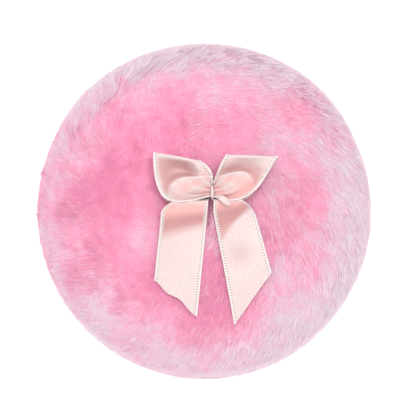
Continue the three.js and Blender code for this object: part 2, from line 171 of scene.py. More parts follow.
# %% Mesh from arrays
def make_object(name, points, corners, sizes, material):
    """A smooth mesh from points in millimetres and the corners of its faces, one size per face."""
    mesh = bpy.data.meshes.new(name)
    mesh.vertices.add(len(points))
    mesh.vertices.foreach_set("co", (points * MM).astype(np.float32).ravel())
    mesh.loops.add(len(corners))
    mesh.loops.foreach_set("vertex_index", corners.astype(np.int32))
    mesh.polygons.add(len(sizes))
    starts = np.concatenate([[0], np.cumsum(sizes)[:-1]])
    mesh.polygons.foreach_set("loop_start", starts.astype(np.int32))
    mesh.update(calc_edges=True)
    mesh.shade_smooth()
    mesh.materials.append(material)
    made = bpy.data.objects.new(name, mesh)
    scene.collection.objects.link(made)
    return made


print("meshes so far:", len(bpy.data.meshes))

# %% [markdown]
# ## Floor and light
#
# The puff lies on a white table in plain, soft light. A backdrop could be bent up behind it, but a wide
# flat floor does as well here, because the world is white at table level and no horizon shows. The floor
# is a sheet of white acrylic lit from below: matt, so that it mirrors nothing, and bright enough to leave
# only soft shadows. The world is dimmer overhead, where one broad round lamp hangs, a little to the back
# and right. The colours are shown as they are, without a film-like curve.

# %% White studio
DIM_FROM, DIM_TO = 0.12, 0.4  # how steeply a direction points up: 0 is level, 1 is straight up
OVERHEAD_STRENGTH = 0.88
scene.view_settings.view_transform = "Standard"
world = bpy.data.worlds.new("white studio")
scene.world = world
world.use_nodes = True
sky = world.node_tree
sky.nodes["Background"].inputs["Color"].default_value = linear("#ffffff")
direction = add_node(sky, "ShaderNodeTexCoord").outputs["Generated"]
upward_part = add_node(sky, "ShaderNodeSeparateXYZ", {"Vector": direction}).outputs["Z"]
dimming = add_node(sky, "ShaderNodeMapRange", {
    "Value": upward_part, "From Min": DIM_FROM, "From Max": DIM_TO,
    "To Min": 1.0, "To Max": OVERHEAD_STRENGTH})
sky.links.new(dimming.outputs["Result"], sky.nodes["Background"].inputs["Strength"])
print("world strength: 1 at table level,", OVERHEAD_STRENGTH, "overhead")

# %% Floor and lamp
FLOOR_SIDE = 6000.0
LAMP_PLACE = (50.0, 60.0, 690.0)
LAMP_DIAMETER = 400.0
LAMP_WATTS = 2.25
floor_material, _, _ = new_material(
    "white acrylic, lit from below",
    Base_Color=linear("#f7f6f5"),
    Roughness=0.6,
    Emission_Color=linear("#ffffff"),
    Emission_Strength=0.6,
)
floor_corners = np.array([[-1, -1, 0], [1, -1, 0], [1, 1, 0], [-1, 1, 0]]) * FLOOR_SIDE / 2
floor = make_object("floor", floor_corners, np.arange(4), np.array([4]), floor_material)

lamp_data = bpy.data.lights.new("lamp", "AREA")
lamp_data.shape = "DISK"
lamp_data.size = LAMP_DIAMETER * MM
lamp_data.energy = LAMP_WATTS
lamp = bpy.data.objects.new("lamp", lamp_data)
scene.collection.objects.link(lamp)
lamp.location = Vector(LAMP_PLACE) * MM
lamp.rotation_mode = "QUATERNION"
lamp.rotation_quaternion = (-lamp.location).to_track_quat("-Z", "Y")
print("lamp at", [round(v, 2) for v in lamp.location], "m")

# %% [markdown]
# ## Plush pile, the material
#
# Plush is acrylic fibre knitted into a backing and brushed. Each fibre is dyed through, but its worn tip
# scatters light and looks frosted, while deep in the pile light passes from fibre to fibre and comes
# back strongly coloured. A hair shader could do this, but hair is lost when the object is exported as
# meshes. So a plain shader is mixed with a translucent one, which lets half of the light through. The
# colour follows one number that each point carries, its paleness, which also holds painted sheen and
# painted light. Soft sheen in the shader adds to the pale edge that pile shows when it is seen from the
# side.

# %% Plush pile
LIGHT_THROUGH = 0.5
PILE_TONES = ("#f3b6d3", "#fdd1e5", "#f6f0f5")  # deep in the pile, towards the tips, and frosted
MIDDLE_TONE_PLACE = 0.45
pile_material, pile_tree, pile_shader = new_material(
    "acrylic plush pile, brushed",
    Roughness=0.8,
    IOR=1.49,
    Specular_IOR_Level=0.2,
    Sheen_Weight=0.2,
    Sheen_Roughness=0.5,
    Sheen_Tint=linear("#fff0f6"),
)
pile_paleness = add_node(pile_tree, "ShaderNodeAttribute", attribute_name="paleness")
pile_tone = add_node(pile_tree, "ShaderNodeValToRGB", {"Fac": pile_paleness.outputs["Fac"]})
pile_tone.color_ramp.elements.new(MIDDLE_TONE_PLACE)
for element, colour in zip(pile_tone.color_ramp.elements, PILE_TONES):
    element.color = linear(colour)
pile_tree.links.new(pile_tone.outputs["Color"], pile_shader.inputs["Base Color"])
pile_glow = add_node(pile_tree, "ShaderNodeBsdfTranslucent", {"Color": pile_tone.outputs["Color"]})
fibre = add_node(pile_tree, "ShaderNodeMixShader", {
    0: LIGHT_THROUGH, 1: pile_shader.outputs[0], 2: pile_glow.outputs[0]})
pile_tree.links.new(fibre.outputs[0], pile_tree.nodes["Material Output"].inputs["Surface"])
print("made:", pile_material.name)

# %% [markdown]
# ## Backing, thread and wadding, the materials
#
# Under the pile lies the knit that holds it, which shows only where the pile parts, as a deeper pink.
# Its loops are about a millimetre apart. The bow is tacked on with spun polyester thread, whose twist of
# about 0.3 mm breaks up its dull gleam. The puff is filled with loose polyester wadding, a dull white in
# clumps of about 6 mm. All three are matt and cloudy, so one function makes them: a noise of the right
# size drives both the colour and the bump. Knitted and twisted patterns would be truer, but none of
# these is seen close by.

# %% Backing, thread and wadding
def cloudy_material(name, tones, spacing, strength, depth, **sockets):
    """A matt fibre material whose colour and bump follow a noise. Spacing and depth are in millimetres."""
    material, tree, shader = new_material(name, **sockets)
    place = add_node(tree, "ShaderNodeTexCoord")
    noise = add_node(tree, "ShaderNodeTexNoise", {
        "Vector": place.outputs["Object"], "Scale": 1 / (spacing * MM), "Detail": 3.0})
    tone = add_node(tree, "ShaderNodeValToRGB", {"Fac": noise.outputs["Fac"]})
    for element, colour in zip(tone.color_ramp.elements, tones):
        element.color = linear(colour)
    bump = add_node(tree, "ShaderNodeBump", {
        "Height": noise.outputs["Fac"], "Strength": strength, "Distance": depth * MM})
    tree.links.new(tone.outputs["Color"], shader.inputs["Base Color"])
    tree.links.new(bump.outputs["Normal"], shader.inputs["Normal"])
    return material


backing_material = cloudy_material(
    "knitted plush backing", ("#f9b0cf", "#fbc3dc"),
    spacing=1.0, strength=0.6, depth=0.5, Roughness=0.9, Sheen_Weight=0.2)
thread_material = cloudy_material(
    "spun polyester thread", ("#ecd3ce", "#fdf0ec"),
    spacing=0.3, strength=0.5, depth=0.09, Roughness=0.6, Sheen_Weight=0.3)
wadding_material = cloudy_material(
    "polyester wadding", ("#e6e2dc", "#fbfaf7"),
    spacing=6.0, strength=0.5, depth=1.8, Roughness=0.95, Sheen_Weight=0.3)
for node in ("seam_needle_thread", "seam_bobbin_thread", "closing_stitch"):
    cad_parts[node].data.materials.clear()
    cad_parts[node].data.materials.append(thread_material)
print("made:", backing_material.name, thread_material.name, wadding_material.name)

# %% [markdown]
# ## Satin ribbon, the material
#
# Satin is woven so that long threads float over the face, which makes it smooth and bright. The cross
# threads are about 0.12 mm apart, too fine for this picture, so they are drawn at 0.45 mm. The cloth is
# thin, and light that has passed it twice turns it peach in shallow folds, while deep folds lie in shade.
# Many bounces of light could show that, but a picture with few samples would be noisy. So the light and
# shade are painted: the mesh carries how much painted peach glow and how much painted dusky shade each
# point has, and also where the beads of the woven selvedge lie, each with a painted highlight, and the
# painted shade in the gaps beside them. The material lays these four tints over the weave.

# %% Satin ribbon
THREAD_SPACING = 0.45
WEAVE_DEPTH = 0.1
SATIN_THINNESS = 0.16
WEAVE_TONES = ((0.3, "#dfcac8"), (0.7, "#f2e5e4"))
# Painted light and shade: a peach glow, a dusky shade in folds, a highlight on the selvedge beads and shade
# in the gaps between them.
TINTS = {"peach": "#fcc0bb", "fold": "#d19d9b", "selvedge_bead_highlight": "#f8f3f0", "selvedge_gap_shade": "#98867f"}
satin_material, satin_tree, satin_shader = new_material(
    "polyester satin ribbon, woven",
    Roughness=0.42,
    IOR=1.58,
    Specular_IOR_Level=0.35,
    Sheen_Weight=0.15,
    Sheen_Roughness=0.4,
    Sheen_Tint=linear("#fff4f0"),
)
ribbon_map = add_node(satin_tree, "ShaderNodeUVMap", uv_map="Ribbon")
weave = add_node(satin_tree, "ShaderNodeTexNoise", {
    "Vector": ribbon_map.outputs["UV"], "Scale": 1 / THREAD_SPACING, "Detail": 2.0})
weave_tone = add_node(satin_tree, "ShaderNodeValToRGB", {"Fac": weave.outputs["Fac"]})
for element, (tone_place, colour) in zip(weave_tone.color_ramp.elements, WEAVE_TONES):
    element.position = tone_place
    element.color = linear(colour)
face = weave_tone.outputs["Color"]
for tint, colour in TINTS.items():
    amount = add_node(satin_tree, "ShaderNodeAttribute", attribute_name=tint)
    face = add_node(satin_tree, "ShaderNodeMix", {
        0: amount.outputs["Fac"], 6: face, 7: linear(colour)}, data_type="RGBA").outputs[2]
weave_bump = add_node(satin_tree, "ShaderNodeBump", {
    "Height": weave.outputs["Fac"], "Strength": 0.25, "Distance": WEAVE_DEPTH * MM})
satin_tree.links.new(face, satin_shader.inputs["Base Color"])
satin_tree.links.new(weave_bump.outputs["Normal"], satin_shader.inputs["Normal"])
satin_glow = add_node(satin_tree, "ShaderNodeBsdfTranslucent", {"Color": linear("#ff9f94")})
satin = add_node(satin_tree, "ShaderNodeMixShader", {
    0: SATIN_THINNESS, 1: satin_shader.outputs[0], 2: satin_glow.outputs[0]})
satin_tree.links.new(satin.outputs[0], satin_tree.nodes["Material Output"].inputs["Surface"])
print("made:", satin_material.name, "with", len(TINTS), "tints")

# %% [markdown]
# ## Soft curves
#
# Cloth has few straight lines. Its shapes could be drawn by hand as curves, but almost every one below is
# a sum of the same few soft curves, so each of these gets a name: an ease up or down between two places, a
# window that eases up and down again, an arch, a bell and a blend.

# %% Soft curves
def smooth(share):
    """Eases from 0 to 1."""
    share = np.clip(share, 0, 1)
    return share * share * (3 - 2 * share)


def rising(value, start, width):
    """Eases from 0 at the start to 1 once a width has gone by."""
    return smooth((value - start) / width)


def falling(value, start, width):
    """Eases from 1 at the start to 0 once a width has gone by."""
    return 1 - rising(value, start, width)


def window(value, rise, fall):
    """Eases up and down again. The rise and the fall are each a start and a width."""
    return rising(value, *rise) * falling(value, *fall)


def arch(share):
    """Goes from 0 up to 1 and back to 0."""
    return np.sin(math.pi * np.clip(share, 0, 1))


def bell(distance, width):
    """1 where the distance is 0, fading on both sides."""
    return np.exp(-(distance / width) ** 2)


def mix(a, b, share):
    """Goes from a to b."""
    return a + (b - a) * share


print("an ease at a quarter:", round(float(smooth(0.25)), 3))

# %% [markdown]
# ## The form of the puff
#
# Both covers are turned shapes: a rounded section, drawn in at the seam, spun about the middle. The
# section is one line from the crown, over the side and the seam, to the middle of the resting face.
# A sculpted blob could look the same, but a formula also says where the pile ends under the bow. The
# bow pulls a shallow tuft into the crown.

# %% The form of the puff
SEAM_STEPS = 9


def tuft(x, y):
    """How far the crown is pulled in at a place."""
    square = (x - BOW[0]) ** 2 + (y - BOW[1]) ** 2
    return TUFT_DEPTH * np.exp(-square / (2 * TUFT_SPREAD ** 2))


def pile_top(x, y):
    """Height of the tips of the pile above the table."""
    share = np.clip(np.hypot(x, y) / PUFF_RADIUS, 0, 1)
    rise = (CROWN_HEIGHT - SIDE_BULGE) * (1 - share ** DOME_FULLNESS) ** (1 / DOME_FULLNESS)
    return SEAM_HEIGHT + SIDE_BULGE + rise - tuft(x, y)


def section(inset, steps=80):
    """Radius and height of the puff's section, set in by some millimetres, from crown to resting face."""
    power = 2 / DOME_FULLNESS
    turn = np.linspace(0, math.pi / 2, steps)
    radius, foot = PUFF_RADIUS - inset, REST_RADIUS - inset / 2
    rise = CROWN_HEIGHT - SIDE_BULGE - inset
    crown = np.c_[radius * np.sin(turn) ** power, SEAM_HEIGHT + SIDE_BULGE + rise * np.cos(turn) ** power]
    dip = np.linspace(1, -1, SEAM_STEPS)[1:-1]
    seam = np.c_[radius - SEAM_DRAW_IN * np.cos(dip * math.pi / 2) ** 2, SEAM_HEIGHT + SIDE_BULGE * dip]
    low = SEAM_HEIGHT - SIDE_BULGE
    base = np.c_[foot + (radius - foot) * np.cos(turn) ** power, low - (low - inset) * np.sin(turn) ** power]
    return np.vstack([crown, seam, base, [[0, inset]]])


print("section points:", len(section(0)), "crown", round(float(pile_top(0, 0)), 2))

# %% [markdown]
# ## Covers under the pile
#
# Each cover is modelled as its backing with the densest part of the pile, a shell about a millimetre
# inside the tips. It fills the gaps between the strands that are drawn one by one, so that no light
# leaks in. Cloth blown up by simulation could give small creases, but only glimpses of the shell show,
# so a turned mesh is enough.

# %% Covers under the pile
SHELL_INSET = 1.1
SHELL_INNER = 8.5
LEAST_RADIUS = 0.05  # keeps the innermost ring open
TURN_STEPS = 96


def round_turn(steps):
    """Angles once round, without the last one."""
    return np.linspace(0, 2 * math.pi, steps, endpoint=False)


def profile_of(inset):
    """The section, kept just off the axis."""
    line = section(inset)
    line[:, 0] = np.maximum(line[:, 0], LEAST_RADIUS)
    return line


def turned(name, profile, material):
    """A closed turned mesh from a profile that closes on itself."""
    angle = round_turn(TURN_STEPS)
    radius, height = profile[:, :1], profile[:, 1:]
    x, y = radius * np.cos(angle), radius * np.sin(angle)
    z = height - np.where(height > SEAM_HEIGHT, tuft(x, y), 0)
    index = np.arange(x.size).reshape(x.shape)
    lower = np.roll(index, -1, 0)
    quads = np.stack([index, lower, np.roll(lower, -1, 1), np.roll(index, -1, 1)], -1)
    points = np.stack([x, y, z], -1).reshape(-1, 3)
    return make_object(name, points, quads.ravel(), np.full(index.size, 4), material)


outer, inner = profile_of(SHELL_INSET), profile_of(SHELL_INNER)
outer_above, inner_above = outer[:, 1] > SEAM_HEIGHT, inner[:, 1] > SEAM_HEIGHT
upper_profile = np.vstack([outer[outer_above], inner[inner_above][::-1]])
lower_profile = np.vstack([outer[~outer_above], inner[~inner_above][::-1]])
upper_shell = turned("upper_cover_backing", upper_profile, backing_material)
lower_shell = turned("lower_cover_backing", lower_profile, backing_material)
for shell, node in ((upper_shell, "upper_cover"), (lower_shell, "lower_cover")):
    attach(shell, "puff")
    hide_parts(node)
print("shell faces:", len(upper_shell.data.polygons) + len(lower_shell.data.polygons))

# %% [markdown]
# ## Filling
#
# Inside lies a disc of wadding. It could be a cloud of fibres, but nobody sees it, so it is turned like
# the covers. It is drawn in round its middle, to stay clear of the seam allowances.

# %% Filling
WADDING_INSET = 10.5
WAIST_HEIGHT = 6.0
WAIST_SHARE = 0.16
wadding_profile = profile_of(WADDING_INSET)
near_seam = falling(np.abs(wadding_profile[:, 1] - SEAM_HEIGHT), 0, WAIST_HEIGHT)
wadding_profile[:, 0] *= 1 - WAIST_SHARE * near_seam
filling = turned("filling_wadding", wadding_profile, wadding_material)
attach(filling, "puff")
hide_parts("filling")
print("filling faces:", len(filling.data.polygons))

# %% [markdown]
# ## Ribbon
#
# A strip of ribbon is a grid of points on its middle surface, thickened both ways. A plane with a
# modifier would be quicker to set up, but the grid lets extra columns at both edges make the selvedge:
# a bead that swells and shrinks along the edge, then a groove, then the flat satin. Each point also
# carries its place on the flat ribbon, for the weave, and the four tints of painted light and shade.

# %% Columns across the ribbon
EDGE_THINNESS = 0.3
MIDDLE_COLUMNS = 36
# Places in from the edge in millimetres, as shares of the width, and what the ribbon is like at each.
edge_columns = np.array([0.0, 0.17, 0.34, 0.5, 0.64, 0.8, 0.96, 1.2]) / RIBBON_WIDTH
edge_bulge = np.array([0.15, 0.8, 1.0, 0.8, 0.4, 0.1, 0.0, 0.0])  # how full a bead is there
# Painted shade in the gaps between the beads.
edge_gap_shade = np.array([0.0, 0.0, 0.0, 0.3, 1.0, 1.0, 0.5, 0.0])  # how dark the gap between beads is
# Painted highlight where the beads catch the light.
edge_bead_highlight = np.array([1.0, 1.0, 1.0, 1.0, 1.0, 1.0, 0.7, 0.0])  # how much it is tinted as a bead
edge_thickness = np.where(edge_columns > 0, 1.0, EDGE_THINNESS)
middle_columns = np.linspace(edge_columns[-1], 1 - edge_columns[-1], MIDDLE_COLUMNS)[1:-1]
COLUMNS = np.concatenate([edge_columns, middle_columns, 1 - edge_columns[::-1]])


def across_ribbon(edge, middle):
    """One number per column: a row for the edge, mirrored at the other edge, and a constant between."""
    return np.concatenate([edge, np.full(len(middle_columns), middle), edge[::-1]])


BULGE, GAP_SHADE, BEAD_HIGHLIGHT = (across_ribbon(edge, 0.0) for edge in (edge_bulge, edge_gap_shade, edge_bead_highlight))
THICKNESS = RIBBON_THICKNESS * across_ribbon(edge_thickness, 1.0)
print("ribbon columns:", len(COLUMNS))

# %% Numbers carried by the points
def set_attribute(obj, name, values):
    """Stores one number per point, for the material to read."""
    attribute = obj.data.attributes.new(name, "FLOAT", "POINT")
    attribute.data.foreach_set("value", values.astype(np.float32).ravel())


def set_map(obj, name, corners, places):
    """Stores where each point lies on a flat map, once for each corner of a face."""
    layer = obj.data.uv_layers.new(name=name)
    layer.data.foreach_set("uv", places[corners].astype(np.float32).ravel())


print("tints to carry:", ", ".join(TINTS))

# %% Strip of ribbon
BEAD_PITCH = 0.75  # drawn coarser than real selvedge beads, which are too fine for this picture
BEAD_SWELL = 0.2
# Share of the beads' painted highlight left between their crests.
BEAD_FAINTEST = 0.6
GAP_FADE = (0.2, 0.4)


def unit(vectors):
    """Vectors of the same directions, 1 long."""
    return vectors / np.maximum(np.linalg.norm(vectors, axis=-1, keepdims=True), 1e-9)


def ribbon(name, grid, tints):
    """A closed strip of satin from a grid of points, rows along the ribbon and columns across it."""
    rows, columns = grid.shape[:2]
    normal = unit(np.cross(np.gradient(grid, axis=0), np.gradient(grid, axis=1)))
    steps = np.linalg.norm(np.diff(grid, axis=0), axis=-1)
    run = np.vstack([np.zeros(columns), np.cumsum(steps, axis=0)])
    beat = 0.5 + 0.5 * np.cos(2 * math.pi * run / BEAD_PITCH)
    swell = normal * (THICKNESS / 2 + BEAD_SWELL * BULGE * beat)[..., None]
    points = np.concatenate([grid + swell, grid - swell]).reshape(-1, 3)
    index = np.arange(rows * columns).reshape(rows, columns)
    corner_sets = (index[:-1, :-1], index[:-1, 1:], index[1:, 1:], index[1:, :-1])
    a, b, c, d = (corner_set.ravel() for corner_set in corner_sets)
    rim = np.concatenate([index[0, :-1], index[:-1, -1], index[-1, :0:-1], index[:0:-1, 0]])
    follow = np.roll(rim, -1)
    quads = np.concatenate([
        np.stack([a, b, c, d], -1),
        np.stack([a, d, c, b], -1) + index.size,
        np.stack([rim, rim + index.size, follow + index.size, follow], -1),
    ])
    made = make_object(name, points, quads.ravel(), np.full(len(quads), 4), satin_material)
    # Painted shade in the gaps between beads, and a painted highlight on each bead, strongest at its crest.
    edge_tints = {
        "selvedge_gap_shade": GAP_SHADE * falling(beat, *GAP_FADE),
        "selvedge_bead_highlight": BEAD_HIGHLIGHT * mix(BEAD_FAINTEST, 1, beat),
    }
    for tint, values in (tints | edge_tints).items():
        set_attribute(made, tint, np.tile(values, (2, 1)))
    flat = np.stack([np.tile(COLUMNS * RIBBON_WIDTH, (rows, 1)), run], -1)
    set_map(made, "Ribbon", quads.ravel(), np.tile(flat.reshape(-1, 2), (2, 1)))
    return made, float(run[-1].mean())


print("bead pitch:", BEAD_PITCH, "mm")

# %% [markdown]
# ## Loops of the bow, from above
#
# Seen from above, each loop lies between two selvedges that start gathered at the knot and end at the
# fold. The inner one is a gentle curve. The outer one swings out to a belly on the way. A tied ribbon
# could be simulated, but it would not come to lie as this one does, so both edges are drawn as curves.

# %% Sizes of the loops
# Lengths are in millimetres, and headings in degrees from +X. Shares run from the knot to the fold, or
# from the inner edge to the outer one.
# side: -1 for left, 1 for right. reach, heading: from the knot to the middle of the fold.
# fold, skew: heading of the fold line, and how far it is off square to the ribbon.
# bow: how far the inner selvedge bends aside.
# belly, belly_heading, sag, flare: where the outer selvedge swings out to, and its bends before and after.
# petal: height of the swelling beside the knot. petal_reach: how far it goes at the inner edge, in the
# middle and at the outer edge. petal_fall: how soon it ends. curl: height of the fine ridge on it.
# dish, dish_lean, lip: depth of the hollow before the fold, where it is deepest, and rise of its inner lip.
# crease: place across and depth of the crease along the front. under: painted peach glow below it.
# shade: reach and softness of the painted shade in the hollow, and where the hollow starts across the
# ribbon.
LEFT_LOOP = {
    "side": -1, "reach": 13.0, "heading": 138.0, "fold": 170.6, "skew": 20, "bow": 3.0,
    "belly": 13.2, "belly_heading": 190, "sag": 0.4, "flare": 0.5,
    "petal": 2.9, "petal_reach": (0.25, 0.9, 0.42), "petal_fall": 0.2, "curl": 0.55,
    "dish": 4.3, "dish_lean": 0.8, "lip": 1.6,
    "crease": (0.72, 0.9), "under": 0.0, "shade": (0.85, 0.12, 0.2),
}
RIGHT_LOOP = {
    "side": 1, "reach": 14.0, "heading": 40.2, "fold": -1, "skew": 26, "bow": 0.8,
    "belly": 11.7, "belly_heading": 0, "sag": 1.6, "flare": -0.3,
    "petal": 2.9, "petal_reach": (0.15, 1.0, 0.42), "petal_fall": 0.2, "curl": 0.25,
    "dish": 3.8, "dish_lean": 0.5, "lip": 0.6,
    "crease": (0.78, 1.4), "under": 0.9, "shade": (0.4, 0.35, 0.06),
}
WAIST_LENGTH = 3.0
WAIST_WIDTH = 2.8
CLEARANCE = 0.3
print("loops reach:", LEFT_LOOP["reach"], RIGHT_LOOP["reach"], "mm")

# %% Loops from above
KNOT_HALF_WIDTH = 0.25
BOW_PLACE = 0.6


def polar(reach, heading):
    """A step of some length along a heading in degrees."""
    return reach * np.array([math.cos(math.radians(heading)), math.sin(math.radians(heading))])


def hermite(a, b, leave, arrive, s):
    """A curve from a to b with given directions at both ends."""
    s = s[..., None]
    return (a * (1 + 2 * s) * (1 - s) ** 2 + b * s * s * (3 - 2 * s)
            + leave * s * (1 - s) ** 2 - arrive * s * s * (1 - s))


def loop_plan(size, e, t, upper):
    """A loop's point from above: e runs from knot to fold, and t from the inner to the outer edge."""
    side = size["side"]
    root = np.array([side * mix(WAIST_LENGTH / 2 + CLEARANCE, KNOT_HALF_WIDTH, upper), WAIST_WIDTH / 2])
    fold = polar(size["reach"], size["heading"])
    half = polar(RIBBON_WIDTH / 2 / math.cos(math.radians(size["skew"])), size["fold"])
    inner_end, outer_end = fold - half, fold + half
    pull = mix(root, inner_end, BOW_PLACE) - [side * size["bow"], 0]
    s = e[..., None]
    inner_edge = root * (1 - s) ** 2 + pull * 2 * s * (1 - s) + inner_end * s * s
    start, belly = root * [1, -1], polar(size["belly"], size["belly_heading"])
    lean = (outer_end - start) / 2
    first = hermite(start, belly, (belly - start) / 2, lean, 2 * e)
    second = hermite(belly, outer_end, lean, (outer_end - belly) / 2, 2 * e - 1)
    outer_edge = np.where(s < 0.5, first, second)
    outer_edge[..., 1] -= size["sag"] * arch(2 * e)
    outer_edge[..., 0] += side * size["flare"] * arch(2 * e - 1)
    return BOW + mix(inner_edge, outer_edge, t[..., None])


print("a loop starts", KNOT_HALF_WIDTH, "mm from the middle of the knot")

# %% [markdown]
# ## Loops of the bow, their height and tints
#
# The strip runs out along its lower layer, round the fold and back along its upper layer, which swells
# into a petal beside the knot, sinks into a hollow and rises again to the fold. Pleats fan out from the
# gathers, and along the front the selvedge comes down to rest on the tail. Each of these is one soft
# curve of the place along and across the loop, so each can be changed by itself. The tints are painted
# shade and light at the same places: painted shade in the hollow, the crease, the pleat valleys and on
# the underside, and a painted peach glow on the petal, just past it and below the crease at the front.

# %% Places on a loop
PLEATS = 4
CREASE_WIDTH = 0.05
CREASE_ALONG = ((0.0, 0.1), (0.25, 0.3))  # eases along the loop, each a start and a width


def loop_places(size, e, t):
    """Where a point lies on the petal and past it, among the pleats and in the crease."""
    near, bulge, far = size["petal_reach"]
    crest = near * (1 - t) ** 2 + 2 * bulge * t * (1 - t) + far * t * t
    past = np.clip((e - crest) / (1 - crest), 0, 1)
    pleat = 1 - 2 * np.abs(np.sin(math.pi * PLEATS * t))
    crease = bell(t - size["crease"][0], CREASE_WIDTH) * window(e, *CREASE_ALONG)
    return crest, past, pleat, crease


print("pleats across a loop:", PLEATS)

# %% Height of the loops
KNOT_LIFT = 1.0
LAYER_PITCH = 1.0
LOOP_REST_LIFT = 1.6
FOLD_HEIGHT = 4.6
ROOT_OPENING = 1.7
FRONT_OPENING = 2.1
LEAST_OPENING = 0.6
OPENING_STIFFNESS = 4
PLEAT_DEPTH = 0.8
PLEAT_REACH = 0.8
RIDGE_HEIGHT = 0.6
RIDGE_WIDTH = 0.08
CURL_PLACE, CURL_WIDTH = 0.55, 0.05
CURL_START, CURL_SPAN = 0.3, 0.5  # across the ribbon
LIP_WIDTH = 0.22
FRONT_ACROSS, FRONT_ALONG = (0.75, 0.25), (0.65, 0.3)
TIED_SHARE, TIED_REACH = 0.6, 0.08


def loop_height(size, e, t, upper):
    """Height of a loop's lower or upper layer above the pile."""
    crest, past, pleat, crease = loop_places(size, e, t)
    rise = np.sin(math.pi / 2 * np.clip(e / crest, 0, 1)) ** 0.8
    drop = np.cos(math.pi / 2 * np.clip((e - crest) / size["petal_fall"], 0, 1)) ** 2
    petal = size["petal"] * rise * drop * mix(0.5, 1, arch(t))
    ridge = RIDGE_HEIGHT * bell(e - crest, RIDGE_WIDTH) * arch(t) ** 0.5
    curl = size["curl"] * bell(e - CURL_PLACE * crest, CURL_WIDTH) * arch((t - CURL_START) / CURL_SPAN)
    start = size["shade"][2]
    across_dish = np.clip((t - start) / (1 - start), 0, 1) ** 0.8
    dish = size["dish"] * arch(past ** size["dish_lean"]) * arch(across_dish)
    lip = size["lip"] * bell(t, LIP_WIDTH) * arch(e) ** 0.7
    opening = mix(ROOT_OPENING, FOLD_HEIGHT, smooth(e)) + petal + ridge + curl - dish + lip
    opening -= size["crease"][1] * crease
    front = rising(t, *FRONT_ACROSS) * falling(e, *FRONT_ALONG)
    opening = mix(opening, np.minimum(opening, FRONT_OPENING), front)
    room = np.logaddexp(0, OPENING_STIFFNESS * (opening - LEAST_OPENING)) / OPENING_STIFFNESS
    gathers = PLEAT_DEPTH * np.clip(1 - e / PLEAT_REACH, 0, 1) ** 1.5 * pleat
    lower = mix(KNOT_LIFT + LAYER_PITCH, LOOP_REST_LIFT, smooth(e)) + RIBBON_THICKNESS / 2
    return lower + (gathers + upper * (LEAST_OPENING + room)) * mix(TIED_SHARE, 1, rising(e, 0, TIED_REACH))


print("fold height:", FOLD_HEIGHT, "mm")

# %% Tints of the loops
# Painted shade in the hollow, the crease, the pleat valleys and on the underside. Painted peach glow below
# the crease at the front, just past the petal, in rings on it and in the valleys.
HOLLOW_PAINTED_SHADE, CREASE_PAINTED_SHADE, VALLEY_PAINTED_SHADE, UNDERSIDE_PAINTED_SHADE = 0.7, 0.6, 0.3, 0.5
GLOW_PAINTED_PEACH, PETAL_PAINTED_PEACH, VALLEY_PAINTED_PEACH = 0.5, 0.6, 0.4
HOLLOW_RISE, HOLLOW_EDGE, HOLLOW_END = (0.0, 0.15), 0.16, (0.87, 0.1)
GLOW_PAST_PETAL = ((0.0, 0.06), (0.15, 0.25))
UNDER_CREASE, UNDER_EDGE, UNDER_ALONG = -0.15, 0.2, (0.5, 0.3)


def loop_tints(size, e, t, upper):
    """How much painted shade and painted peach glow a point of a loop has."""
    crest, past, pleat, crease = loop_places(size, e, t)
    valley = np.clip(-pleat, 0, 1) * np.clip(1 - e / PLEAT_REACH, 0, 1)
    reach, softness, start = size["shade"]
    hollow = window(past, HOLLOW_RISE, (reach, softness)) * window(t, (start, HOLLOW_EDGE), HOLLOW_END)
    painted_shade = np.clip(HOLLOW_PAINTED_SHADE * hollow + CREASE_PAINTED_SHADE * crease + VALLEY_PAINTED_SHADE * valley, 0, 1)
    below_crease = rising(t, size["crease"][0] + UNDER_CREASE, UNDER_EDGE)
    under = size["under"] * below_crease * falling(e, *UNDER_ALONG)
    glowing = window(past, *GLOW_PAST_PETAL) * arch(t)
    rings = np.sin(2 * math.pi * np.clip(e / crest, 0, 1)) ** 2 * arch(t)
    peach = under + upper * (GLOW_PAINTED_PEACH * glowing + PETAL_PAINTED_PEACH * rings + VALLEY_PAINTED_PEACH * valley)
    return (painted_shade if upper else np.full_like(painted_shade, UNDERSIDE_PAINTED_SHADE)), np.clip(peach, 0, 1)


print("a loop's underside is", UNDERSIDE_PAINTED_SHADE, "dusky")

# %% Loops of the bow
FOLD_FLATNESS = 0.4
LAYER_ROWS, FOLD_ROWS = 90, 26
BEFORE_FOLD = 0.93


def loop_layer(size, along, upper):
    """Points and tints of one layer of a loop, at shares along it."""
    e, t = np.broadcast_arrays(along, COLUMNS[None, :])
    place = loop_plan(size, e, t, upper)
    z = pile_top(place[..., 0], place[..., 1]) + loop_height(size, e, t, upper)
    return np.concatenate([place, z[..., None], np.stack(loop_tints(size, e, t, upper), -1)], -1)


def loop_grid(size):
    """All rows of a loop's strip: lower layer, fold and upper layer."""
    along = np.linspace(0, 1, LAYER_ROWS)[:, None]
    turn = np.linspace(0, math.pi, FOLD_ROWS)[1:-1, None, None]
    foot, top = (loop_layer(size, np.ones((1, 1)), upper)[..., :3] for upper in (0, 1))
    before = loop_layer(size, np.full((1, 1), BEFORE_FOLD), 0)[..., :3]
    outward = unit((foot - before) * [1, 1, 0]) * (top - foot)[..., 2:] / 2 * FOLD_FLATNESS
    bend = mix(foot, top, (1 - np.cos(turn)) / 2) + outward * np.sin(turn)
    bend = np.concatenate([bend, np.zeros_like(bend[..., :2])], -1)
    rows = np.concatenate([loop_layer(size, along, 0), bend, loop_layer(size, along[::-1], 1)])
    # fold holds the painted shade and peach the painted glow.
    return rows[..., :3], {"fold": rows[..., 3], "peach": rows[..., 4]}


left_loop, left_loop_length = ribbon("left_loop_ribbon", *loop_grid(LEFT_LOOP))
right_loop, right_loop_length = ribbon("right_loop_ribbon", *loop_grid(RIGHT_LOOP))
print("loop strips:", round(left_loop_length, 1), round(right_loop_length, 1), "mm")
